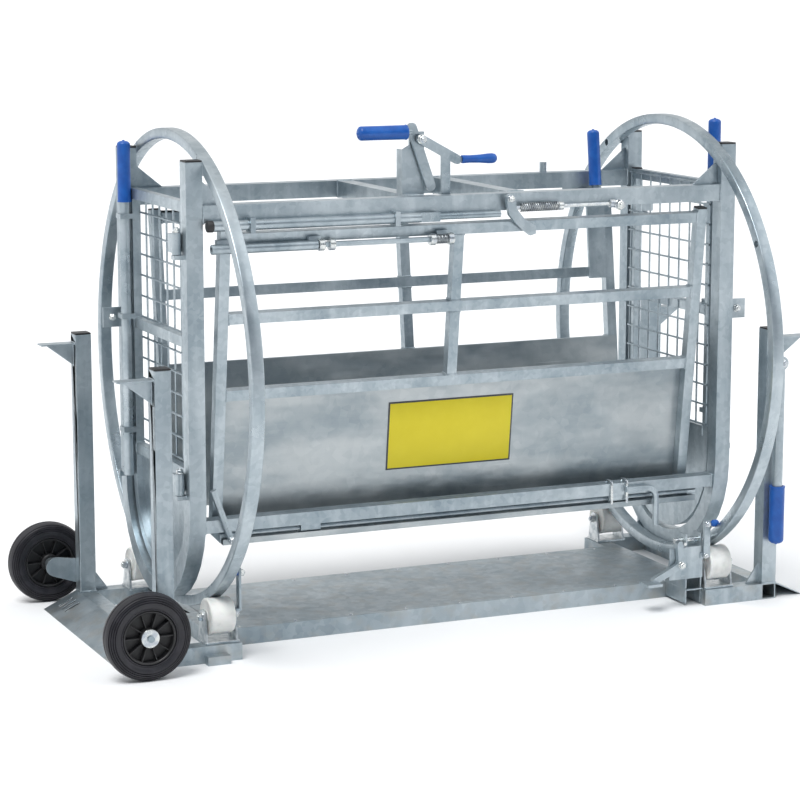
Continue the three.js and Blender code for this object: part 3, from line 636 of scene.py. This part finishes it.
def dipped_vinyl():
    """Blue dip-moulded vinyl: an even colour with soft sags, a dull sheen and scuffs."""
    material, shader, place = surface("blue dipped vinyl", 0.0)
    sag = place.noise(45.0, 3.0).step(0.3, 0.75)
    scuff = place.noise(160.0, 6.0).step(0.62, 0.8)
    pores = place.noise(1500.0, 1.0)
    body = sag.blend((0.004, 0.075, 0.34, 1), (0.008, 0.105, 0.42, 1))
    colour = (scuff * 0.35).blend(body, (0.10, 0.22, 0.56, 1))
    wear(shader, place, colour, 0.34 + scuff * 0.2 + pores * 0.05, sag * 0.6 + pores * 0.25, 0.0003)
    return material


blue_vinyl = dipped_vinyl()
BALL_RADIUS = 9


def knob(seat, way, radius, length):
    """A rounded knob with a short neck, seated on its lever and facing way."""
    outline = [(0, 0), (radius * 0.62, 0), (radius * 0.66, length * 0.16), (radius * 0.95, length * 0.28)]
    for index in range(7):
        angle = math.pi / 2 * index / 6
        outline.append((radius * math.cos(angle), length * (0.6 + 0.4 * math.sin(angle))))
    return turned(blue_vinyl, outline, 32, seat, way)


lever_seat = (626, -309, 205)
lock_lever = together([slab(post_tube, (606, 624), (-313, -307), (122, 214), 1.2),
                       slab(post_tube, (600, 626), (-307, -303), (118, 134), 1.0)])
fit("lock_hand_lever", lock_lever, "base", "galvanised_tube")
fit("lock_knob", knob(lever_seat, (1, 0, 0), BALL_RADIUS, 23), "base", "blue_grip")
bolts("lock_bolts", [((615, -313, 205), (0, -1, 0), 0.9), ((612, -313, 126), (0, -1, 0), 0.8),
                     ((540, -320, 110), (0, -1, 0), 1.1)], "base")
fit("hoop_stop_knob", knob((-612, -300, 199), (-1, 0, 0), BALL_RADIUS, 22), "base", "blue_grip")
stop = together([slab(post_tube, (-612, -606), (-310, -290), (117, 212), 1.2),
                 slab(post_tube, (-620, -606), (-310, -290), (112, 119), 1.0)])
fit("hoop_stop_plate", stop, "base", "galvanised_tube")
bolts("hoop_stop_bolt", [((-606, -300, 199), (1, 0, 0), 1.1)], "base")
low, high = limits("lock_housing")
weld("lock_welds", [ring_round("z", BASE_TOP, (low.x + 50, high.x), (-304, -203))], "base")

# ---- Transport handles ----
# Two round arms are pinned to the right posts. They hang down beside the posts, and fold up to be
# lifted like a wheelbarrow's. Each has a thick blue grip dipped over its end.
coat(["transport_arm_front", "transport_arm_rear"], post_tube, 0.8)


def grip(seat, way, radius, length):
    """A dipped grip: open and slightly flared at its seat, domed at its far end with a small nub."""
    bore, dome = radius * 0.74, radius * 0.55
    outline = [(bore, 0), (radius * 1.03, 0.3), (radius * 1.06, 2), (radius, 5),
               (radius * 0.985, length / 2)]
    for index in range(7):
        angle = math.pi / 2 * index / 6
        outline.append((radius * (0.2 + 0.785 * math.cos(angle)),
                        length - 2.5 - dome * (1 - math.sin(angle))))
    outline += [(radius * 0.17, length - 1.2), (radius * 0.12, length - 0.2), (0, length)]
    inner = [(0, length - dome * 1.4), (bore, length - dome * 1.4)]
    return turned(blue_vinyl, inner + outline, 40, seat, way)


for place_name, out in (("front", -1), ("rear", 1)):
    low, high = limits("transport_grip_" + place_name)
    middle = (low + high) / 2
    handle_grip = grip((middle.x, middle.y, high.z), (0, 0, -1), (high.x - low.x) / 2, high.z - low.z)
    fit("dipped_grip_" + place_name, handle_grip, "handle_" + place_name, "blue_grip",
        "transport_grip_" + place_name)
    bolts("handle_pivot_" + place_name, [((795, out * 353.6, 600), (0, out, 0), 1.2)], "base")

# ---- Hoops ----
# Two rings rolled from rectangular tube, which the whole cage is welded into. The right-hand ring
# is drilled through for the lock bolt, at each quarter turn.
HOLE_COUNT, HOLE_RADIUS, HOLE_REACH = 4, 8.7, 40
CORNER, HOOP_DEPTH, LOCK_BOLT_RADIUS = 3, 25, 7
hoop_tube = galvanised("galvanised hoop tube", 0.013, 0.12, 0.05, 0.3, False)


def rounded_section(inner, outer, start, end, corner):
    """The outline of a rectangular tube with rounded corners."""
    outline = []
    for radius, along, turn in (
            (outer - corner, end - corner, 0), (inner + corner, end - corner, 90),
            (inner + corner, start + corner, 180), (outer - corner, start + corner, 270)):
        for step in range(4):
            angle = math.radians(turn + 30 * step)
            outline.append((radius + corner * math.cos(angle), along + corner * math.sin(angle)))
    return outline


def drilled(mesh, tools):
    """A mesh with the closed shapes in tools cut out of it."""
    work = bpy.data.objects.new("work", mesh)
    cutter = bpy.data.objects.new("cutter", tools)
    for item in (work, cutter):
        bpy.context.scene.collection.objects.link(item)
    cut = work.modifiers.new("cut", "BOOLEAN")
    cut.object = cutter
    cut.solver = "EXACT"
    graph = bpy.context.evaluated_depsgraph_get()
    made = bpy.data.meshes.new_from_object(work.evaluated_get(graph), depsgraph=graph)
    for item in (work, cutter):
        bpy.data.objects.remove(item)
    return made


for side in ("left", "right"):
    low, high = limits("hoop_" + side)
    outer = (high.z - low.z) / 2
    seat = (low.x, (low.y + high.y) / 2, (low.z + high.z) / 2)
    section = rounded_section(outer - HOOP_DEPTH, outer, 0, high.x - low.x, CORNER)
    ring = turned(hoop_tube, section, 200, seat, (1, 0, 0))
    if side == "right":
        drills = []
        drill = [(0, 0), (HOLE_RADIUS, 0), (HOLE_RADIUS, HOLE_REACH), (0, HOLE_REACH)]
        circle = outer - HOOP_DEPTH / 2
        bolt_low, bolt_high = limits("lock_bolt")
        first = math.atan2(bolt_high.y - LOCK_BOLT_RADIUS - seat[1],
                           (bolt_low.z + bolt_high.z) / 2 - seat[2])
        for index in range(HOLE_COUNT):
            angle = first + 2 * math.pi * index / HOLE_COUNT
            spot = (low.x - 5, seat[1] + circle * math.sin(angle), seat[2] + circle * math.cos(angle))
            drills.append(turned(hoop_tube, drill, 20, spot, (1, 0, 0)))
        ring = drilled(ring, together(drills))
    fit("rolled_hoop_" + side, ring, "rotor", "galvanised_tube", "hoop_" + side)

# ---- Cage frame ----
# Arched end frames, top and bottom rails and cross members, all 40 mm tube welded inside the
# hoops. Open tube ends are plugged, and the gate hinge pins stand on welded lugs.
cage_tube = galvanised("galvanised cage tube", 0.012, 0.14, 0.04, 0.33, False)
CAGE = ["rotor_frame_left", "rotor_frame_right", "top_rail_front", "top_rail_rear", "bottom_rail_front",
        "bottom_rail_rear", "cross_member_left", "cross_member_right"]
coat(CAGE, cage_tube, 1.4)
TOP_RAIL_Y, TOP_RAIL_Z = (215, 255), (996, 1036)
LOW_RAIL_Y, LOW_RAIL_Z = (200, 240), (282, 312)
HOOP_MIDDLE, HOOP_SEAM = 633, 547.5
CROSS_X, RAIL_FACE = 130, 213.5
cage_seams = []
for x in (-666.5, 666.5):
    for sign in (-1, 1):
        rail_y = sorted(sign * y for y in TOP_RAIL_Y)
        cage_seams.append(ring_round("x", x, rail_y, TOP_RAIL_Z))
        cage_seams.append(ring_round("x", x, sorted(sign * y for y in LOW_RAIL_Y), LOW_RAIL_Z))
        for y in rail_y:
            reach = math.sqrt(HOOP_SEAM ** 2 - y ** 2)
            for z in (HOOP_MIDDLE - reach, HOOP_MIDDLE + reach):
                cage_seams.append([(x, y, z - 15), (x, y, z + 12)])
for x in (-CROSS_X, CROSS_X):
    for y in (-RAIL_FACE, RAIL_FACE):
        cage_seams.append(ring_round("y", y, (x - POST_HALF, x + POST_HALF), TOP_RAIL_Z))
weld("cage_welds", cage_seams, "rotor")
frame_tops = [(x, y, 1133) for x in (-688, 688) for y in (-235, 235)]
fit("frame_caps", caps(frame_tops, CAP_HALF, CAP_RISE), "rotor", "black_plastic")
bolts("cage_bolts", [((-730, 237, 726), (0, 1, 0), 1.1), ((730, -237, 726), (0, -1, 0), 1.1),
                     ((-730, 232, 726), (0, -1, 0), 1.0), ((730, -232, 726), (0, 1, 0), 1.0),
                     ((375, -278, 1000), (0, -1, 0), 1.5), ((-112, -184, 1165), (0, 1, 0), 1.1),
                     ((87, -262, 1024), (0, 1, 0), 1.0), ((-607, -255, 265), (0, -1, 0), 1.0),
                     ((607, 255, 265), (0, 1, 0), 1.0)], "rotor")


BAR_STEP = 0.006


def bar_paths(name, paths, radius, body, material, slot):
    """Round bars, bent along paths of points, with flat cut ends."""
    values = {"Radius": radius * MM, "Step": BAR_STEP, "Lump": 0.0, "Material": material}
    fit(name, run_tree(BEADS, lines(paths), values), body, slot)


def bent(points, radius, steps=6):
    """A path through points with each corner rounded to radius."""
    path = [Vector(points[0])]
    for before, corner, after in zip(points, points[1:], points[2:]):
        corner = Vector(corner)
        back = (Vector(before) - corner).normalized() * radius
        ahead = (Vector(after) - corner).normalized() * radius
        for step in range(steps + 1):
            t = step / steps
            path.append(corner + back * (1 - t) ** 2 + ahead * t ** 2)
    path.append(Vector(points[-1]))
    return path


def other_side(path):
    """The same path on the cage's other side, where everything is turned half round."""
    return [(-x, -y, z) for x, y, z in path]


u_bolts = []
for x in (384, 426, -426, -384):
    side = -1 if x > 0 else 1
    corners = [(side * 243, 262), (side * 243, 318), (side * 214, 318), (side * 214, 300)]
    u_bolts.append(bent([(x, y, z) for y, z in corners], 9))
bar_paths("rod_u_bolts", u_bolts, 3.6, "rotor", bright_zinc, "zinc_plated")
drop_bar = bent([(420, -249, 297), (502, -253, 297), (502, -252, 202)], 30)
stay = [(-650, -249, 384), (-606, -249, 262)]
for name, path in (("stop_bars", drop_bar), ("corner_stays", stay)):
    bar_paths(name, [path, other_side(path)], 8, "rotor", cage_tube, "galvanised_tube")

# ---- Squeeze panels ----
# Each side is a leaning frame of 25 mm tube with a folded galvanised sheet on its lower half. It
# turns on a rod in the bottom rail's straps. The sheet is thin, so it ripples a little.
LEAN, PANEL_FOOT = math.radians(6.85), (0, -222, 272)
TUBE_Y = (47, 72)
panel_tube = galvanised("galvanised panel tube", 0.01, 0.1, 0.03, 0.33, False)


def rolled_sheet():
    """Galvanised sheet: broad soft clouds with a rolled grain and shallow ripples that catch light."""
    material, shader, place = surface("galvanised panel sheet", 0.8)
    broad = place.stretched((1, 1, 2.2)).noise(4.2, 3.0).step(0.34, 0.66)
    small = place.noise(19.0, 5.0).step(0.35, 0.7)
    cells = place.node("ShaderNodeTexVoronoi", {}, {"Vector": place, "Scale": 55.0}, "Color")
    flakes = cells.node("ShaderNodeSeparateColor", {}, {"Color": cells})
    grain = place.stretched((6, 400, 400)).noise(1.0, 2.0)
    scratch = place.stretched((3, 260, 90)).noise(1.0, 1.0).step(0.74, 0.8)
    tone = broad * 0.62 + small * 0.12 + flakes * 0.14 + grain * 0.12
    colour = tone.blend((0.25, 0.30, 0.33, 1), (0.56, 0.59, 0.595, 1))
    colour = (scratch * 0.35).blend(colour, (0.82, 0.84, 0.84, 1))
    wear(shader, place, colour, 0.27 + small * 0.1 + grain * 0.08 + broad * 0.06,
         broad * 5.0 + flakes * 0.15 + grain * 0.3 - scratch * 0.3, 0.0005)
    return material


panel_sheet = rolled_sheet()
coat(["panel_frame_front", "panel_frame_rear"], panel_tube, 1.3)
coat(["panel_sheet_front", "panel_sheet_rear"], panel_sheet, 0.6)
coat(["rear_handle"], panel_tube, 0.8)


def leaned(mesh, side):
    """Lays a mesh made in the panel's own frame on the front (-1) or rear (1) panel."""
    lay = Matrix.Translation(Vector(PANEL_FOOT) * MM) @ Matrix.Rotation(LEAN, 4, "X")
    if side > 0:
        lay = Matrix.Rotation(math.pi, 4, "Z") @ lay
    mesh.transform(lay)
    return mesh


panel_seams = []
for z in (305, 486, 672):
    for x in (-601.5, 601.5):
        panel_seams.append(ring_round("x", x, TUBE_Y, (z, z + 25)))
for z in (331.5, 484.5, 512.5, 670.5):
    panel_seams.append(ring_round("z", z, (-48, -23), TUBE_Y))
for x in range(-520, 560, 260):
    panel_seams.append([(x, 20, -19), (x + 30, 20, -19)])
for place_name, side in (("front", -1), ("rear", 1)):
    body = "panel_" + place_name
    fit(body + "_welds", leaned(bead(panel_seams), side), body, "galvanised_tube")
    plugs = caps([(-615.5, 59.5, 705), (615.5, 59.5, 705)], 12.2, 4)
    fit(body + "_caps", leaned(plugs, side), body, "black_plastic")


def vinyl_label(name, colour, faded):
    """Printed vinyl film, plain, with a satin face that has faded unevenly."""
    material, shader, place = surface(name, 0.0)
    fade = place.noise(14.0, 4.0).step(0.35, 0.75)
    pores = place.noise(700.0, 2.0)
    wear(shader, place, (fade * 0.5).blend(colour, faded), 0.3 + fade * 0.1 + pores * 0.05,
         pores * 0.4 + fade, 0.0001)
    return material


label_yellow = vinyl_label("plain yellow label", (0.72, 0.60, 0.008, 1), (0.80, 0.68, 0.03, 1))
label_edge = vinyl_label("label edge", (0.05, 0.055, 0.06, 1), (0.1, 0.1, 0.11, 1))
LABEL_X, LABEL_Z, LABEL_MARGIN = (-184, 144), (98, 266), 4
plate_back = slab(label_edge, LABEL_X, (71.2, 72.1), LABEL_Z, 0.3)
face_x, face_z = [(span[0] + LABEL_MARGIN, span[1] - LABEL_MARGIN) for span in (LABEL_X, LABEL_Z)]
plate_face = slab(label_yellow, face_x, (70.7, 71.6), face_z, 0.25)
fit("label_border", leaned(plate_back, -1), "panel_front", "black_plastic")
fit("label_face", leaned(plate_face, -1), "panel_front", "white_plastic")

REAR_GRIP_SEAT, REAR_GRIP_RADIUS, REAR_GRIP_LENGTH = (-557, 122, 720), 16, 145
rear = leaned(grip(REAR_GRIP_SEAT, (0, 0, 1), REAR_GRIP_RADIUS, REAR_GRIP_LENGTH), 1)
fit("dipped_grip_panel", rear, "panel_rear", "blue_grip", "rear_grip")

# ---- Stop tube on the front panel ----
# A telescoping round tube runs under the front panel's top rail. Collars along its rod and a short
# coil spring set how far the panel can close.
STOP_Y, STOP_Z = -272, 938
tube_outline = [(5, 0), (10.6, 0), (11.4, 1), (11.4, 254), (10.6, 255), (5, 255)]
stop_tube = turned(cage_tube, tube_outline, 24, (-655, STOP_Y, STOP_Z), (1, 0, 0))
fit("panel_stop_tube", stop_tube, "panel_front", "galvanised_tube")
stop_rod = [(-401, STOP_Y, STOP_Z), (-60, STOP_Y, STOP_Z)]
bar_paths("panel_stop_rod", [stop_rod], 6.5, "panel_front", cage_tube, "galvanised_tube")
collar_outline = [(6.7, 0), (13, 0), (14, 1.2), (14, 12.8), (13, 14), (6.7, 14)]
collars = [turned(bright_zinc, collar_outline, 28, (x, STOP_Y, STOP_Z), (1, 0, 0))
           for x in (-398, -372, -120, -74)]
fit("panel_stop_collars", together(collars), "panel_front", "zinc_plated")
hangers = [slab(panel_tube, (x, x + 30), (-270, -252), (930, 958), 1.0) for x in (-640, -420, -100)]
fit("panel_stop_hangers", together(hangers), "panel_front", "galvanised_tube")


def coil_tree():
    """A tree that winds a helical spring along X from the origin."""
    start, given = new_tree("coil spring", {"Turns": "Float", "Radius": "Float", "Length": "Float",
                                            "Wire": "Float", "Material": "Material"})
    helix = start.node("GeometryNodeCurveSpiral", {},
                       {"Resolution": 22, "Rotations": given["Turns"], "Start Radius": given["Radius"],
                        "End Radius": given["Radius"], "Height": given["Length"]})
    ring = start.node("GeometryNodeCurvePrimitiveCircle", {}, {"Resolution": 8, "Radius": given["Wire"]})
    tube = start.node("GeometryNodeCurveToMesh", {},
                      {"Curve": helix, "Profile Curve": ring, "Fill Caps": True})
    laid = start.node("GeometryNodeTransform", {}, {"Geometry": tube, "Rotation": (0, math.pi / 2, 0)})
    return finish_made(laid, given["Material"])


COIL = coil_tree()
spring_steel = plated("oiled spring steel", (0.42, 0.44, 0.45, 1), (0.2, 0.22, 0.24, 1), 0.3)


def spring(name, seat, turns, radius, length, wire, body):
    """A coil spring that starts at its seat and runs along +X."""
    values = {"Turns": float(turns), "Radius": radius * MM, "Length": length * MM, "Wire": wire * MM,
              "Material": spring_steel}
    mesh = run_tree(COIL, bpy.data.meshes.new("none"), values)
    mesh.transform(Matrix.Translation(Vector(seat) * MM))
    fit(name, mesh, body, "zinc_plated")


spring("panel_stop_spring", (-105, STOP_Y, STOP_Z), 7, 10, 30, 1.4, "panel_front")

# ---- Gates ----
# Both ends close with an arched gate of 25 mm tube: sheet below, welded 50 mm wire mesh above. It
# turns on two knuckles, and the upright beside them is plugged at its top.
MESH_PITCH, WIRE_RADIUS, WIRE_STEP = 50, 2.5, 0.05
CROSSING = 1.8
HINGE_PINS = (925 + 51, 375 + 51)
gate_tube = galvanised("galvanised gate tube", 0.01, 0.1, 0.03, 0.34, False)
mesh_wire = galvanised("galvanised mesh wire", 0.006, 0.05, 0.02, 0.33, False)
coat(["gate_frame_left", "gate_frame_right"], gate_tube, 1.0)
for side, sign in (("left", -1), ("right", 1)):
    low, high = limits("gate_mesh_" + side)
    plane = (low.x + high.x) / 2
    wires = []
    for index in range(-4, 5):
        y = index * MESH_PITCH
        wires.append([(plane + CROSSING, y, low.z), (plane + CROSSING, y, high.z)])
    for index in range(13):
        z = low.z + 4 + index * MESH_PITCH
        wires.append([(plane - CROSSING, low.y, z), (plane - CROSSING, high.y, z)])
    values = {"Radius": WIRE_RADIUS * MM, "Step": WIRE_STEP, "Lump": 0.0, "Material": mesh_wire}
    body = "gate_" + side
    fit("wire_mesh_" + side, run_tree(BEADS, lines(wires), values), body, "mesh_wire",
        "gate_mesh_" + side)
    seams = []
    for z in (400, 706):
        for y in (-181, 181):
            seams.append(ring_round("y", y, (sign * 672, sign * 692), (z, z + 25)))
    weld("gate_welds_" + side, seams, body)
    hinge_y = 192.5 * sign
    top = slab(black_plastic, (sign * 682 - 9.6, sign * 682 + 9.6), (hinge_y - 12, hinge_y + 12),
               (1040, 1043.5), 0.9)
    fit("gate_cap_" + side, top, body, "black_plastic")
    pins = [((sign * 721, sign * 225, z), (0, 0, 1), 1.1) for z in HINGE_PINS]
    bolts("gate_hinge_nuts_" + side, pins, "rotor")

# ---- Gate latches ----
# A round tube slides up through guides on each gate, with a long blue grip on its top. Its finger
# ends just short of the frame's shelf, so it looks latched but holds nothing.
latch_tube = galvanised("galvanised latch tube", 0.012, 0.12, 0.05, 0.28, False)
coat(["latch_tube_left", "latch_tube_right"], latch_tube, 0.6)
for side in ("left", "right"):
    low, high = limits("latch_grip_" + side)
    middle = (low + high) / 2
    sleeve = grip((middle.x, middle.y, low.z), (0, 0, 1), (high.x - low.x) / 2, high.z - low.z)
    fit("dipped_grip_latch_" + side, sleeve, "latch_" + side, "blue_grip", "latch_grip_" + side)

# ---- Squeeze and release levers ----
# The long lever over the left cross member closes the panel, and the short one beside it lets it
# go. Both are flat bar on one pivot bolt with dipped grips.
lever_steel = galvanised("galvanised lever bar", 0.009, 0.08, 0.04, 0.3, False)
coat(["squeeze_lever", "release_lever"], lever_steel, 0.8)
low, high = limits("squeeze_grip")
middle = (low + high) / 2
long_grip = grip((high.x, middle.y, middle.z), (-1, 0, 0), (high.z - low.z) / 2, high.x - low.x)
fit("dipped_grip_squeeze", long_grip, "squeeze_lever_part", "blue_grip", "squeeze_grip")
low, high = limits("release_grip")
middle = (low + high) / 2
short_outline = [(0, 12), (6, 12), (6, 0), (9.4, 0.4), (9.8, 3), (9, 20), (10, 48), (12, 70), (12, 80),
                 (10.5, 86), (7, 89.4), (0, 90)]
short_grip = turned(blue_vinyl, short_outline, 36, (low.x, middle.y, middle.z), (1, 0, 0))
fit("dipped_grip_release", short_grip, "release_lever_part", "blue_grip", "release_grip")
bolts("lever_pivot", [((-112, -210, 1165), (0, -1, 0), 1.3)], "rotor")
bolts("squeeze_lever_bolt", [((-81, -188, 1056), (0, 1, 0), 1.2)], "squeeze_lever_part", domed)

# ---- Pull rod, trigger and spring ----
# The lever pulls a rod along the front top rail, which a hooked trigger bites. The trigger's coil
# spring on its guide rod rides the cage, and does not stretch when the trigger swings.
coat(["pull_rod"], latch_tube, 0.7)
coat(["trigger_lever"], lever_steel, 1.0)
low, high = limits("pull_rod")
rod_axis = Vector((low.x, (low.y + high.y) / 2, (low.z + high.z) / 2))
plug_outline = [(0, 0), (9, 0), (12.6, 1.5), (13.4, 4), (13.4, 14), (12, 15.4), (0, 15.4)]
plug = turned(black_plastic, plug_outline, 32, rod_axis - Vector((15.5, 0, 0)), (1, 0, 0))
fit("pull_rod_plug", plug, "pull_rod_part", "black_plastic")
SPRING_START, SPRING_END, SPRING_Y, SPRING_Z = 116, 214, -270, 1003
spring_seat = (SPRING_START, SPRING_Y, SPRING_Z)
spring("trigger_spring", spring_seat, 17, 9.4, SPRING_END - SPRING_START, 1.6, "rotor")
guide_rod = [(SPRING_START - 14, SPRING_Y, SPRING_Z), (368, SPRING_Y, SPRING_Z)]
bar_paths("trigger_guide_rod", [guide_rod], 4.2, "rotor", bright_zinc, "zinc_plated")
sleeve_outline = [(4.4, 0), (9, 0), (10, 1), (10, 13), (9, 14), (4.4, 14)]
guide = [turned(bright_zinc, sleeve_outline, 28, (x, SPRING_Y, SPRING_Z), (1, 0, 0))
         for x in (SPRING_END, 352)]
fit("trigger_spring_seats", together(guide), "rotor", "zinc_plated")
bolts("trigger_pin", [((87, -278, 1024), (0, -1, 0), 1.0)], "rotor")

# ---- Floor, light and camera ----
# A plain pale floor under a bright sky and two broad lamps. The sky is darker on the side behind
# the camera, so that the zinc has something to reflect.
FLOOR_REACH = 150


def floor_paint():
    """Pale matt paint with a faint cloud."""
    material, shader, place = surface("studio floor", 0.0)
    cloud = place.noise(0.6, 2.0)
    colour = cloud.blend((0.86, 0.87, 0.88, 1), (0.9, 0.9, 0.9, 1))
    wear(shader, place, colour, 0.75 + cloud * 0.1, cloud, 0.0001)
    return material


floor_mesh = bpy.data.meshes.new("floor")
floor_corners = [(x * FLOOR_REACH, y * FLOOR_REACH, 0) for x, y in ((-1, -1), (1, -1), (1, 1), (-1, 1))]
floor_mesh.from_pydata(floor_corners, [], [(0, 1, 2, 3)])
floor_mesh.materials.append(floor_paint())
floor = bpy.data.objects.new("floor", floor_mesh)
bpy.context.scene.collection.objects.link(floor)
for shape in (hexagon, domed):
    bpy.data.objects.remove(shape)

world = bpy.data.worlds.new("studio")
bpy.context.scene.world = world
world.use_nodes = True
sky = Wire(world.node_tree)
direction = sky.node("ShaderNodeTexCoord", {}, {}, "Generated")
toward = direction.node("ShaderNodeSeparateXYZ", {}, {"Vector": direction}, "Y")
shell = toward.step(-0.85, 0.35).blend((0.16, 0.2, 0.25, 1), (1.0, 1.0, 1.0, 1))
background = world.node_tree.nodes["Background"]
world.node_tree.links.new(shell.socket, background.inputs["Color"])
background.inputs["Strength"].default_value = 0.85


def sun(name, elevation, azimuth, strength, spread):
    """A broad lamp: its height and turn, and the size it looks, are in degrees."""
    light = bpy.data.lights.new(name, "SUN")
    light.energy = strength
    light.angle = math.radians(spread)
    lamp = bpy.data.objects.new(name, light)
    lamp.rotation_euler = (math.radians(90 - elevation), 0, math.radians(azimuth))
    bpy.context.scene.collection.objects.link(lamp)


sun("key_light", 62, -50, 2.3, 28)
sun("fill_light", 35, 60, 0.9, 60)
bpy.context.scene.view_settings.view_transform = "Standard"

CAMERA_PLACE = (-2590.4, -5713.2, 1595.4)
CAMERA_TURN, CAMERA_DIP, CAMERA_LENS = 0.41476, 0.17151, 116.58
camera_data = bpy.data.cameras.new("camera")
camera_data.sensor_width = 36
camera_data.lens = CAMERA_LENS
camera_data.clip_end = 400
camera = bpy.data.objects.new("camera", camera_data)
camera.location = Vector(CAMERA_PLACE) * MM
camera.rotation_euler = (math.pi / 2 - CAMERA_DIP, 0, -CAMERA_TURN)
bpy.context.scene.collection.objects.link(camera)
bpy.context.scene.camera = camera
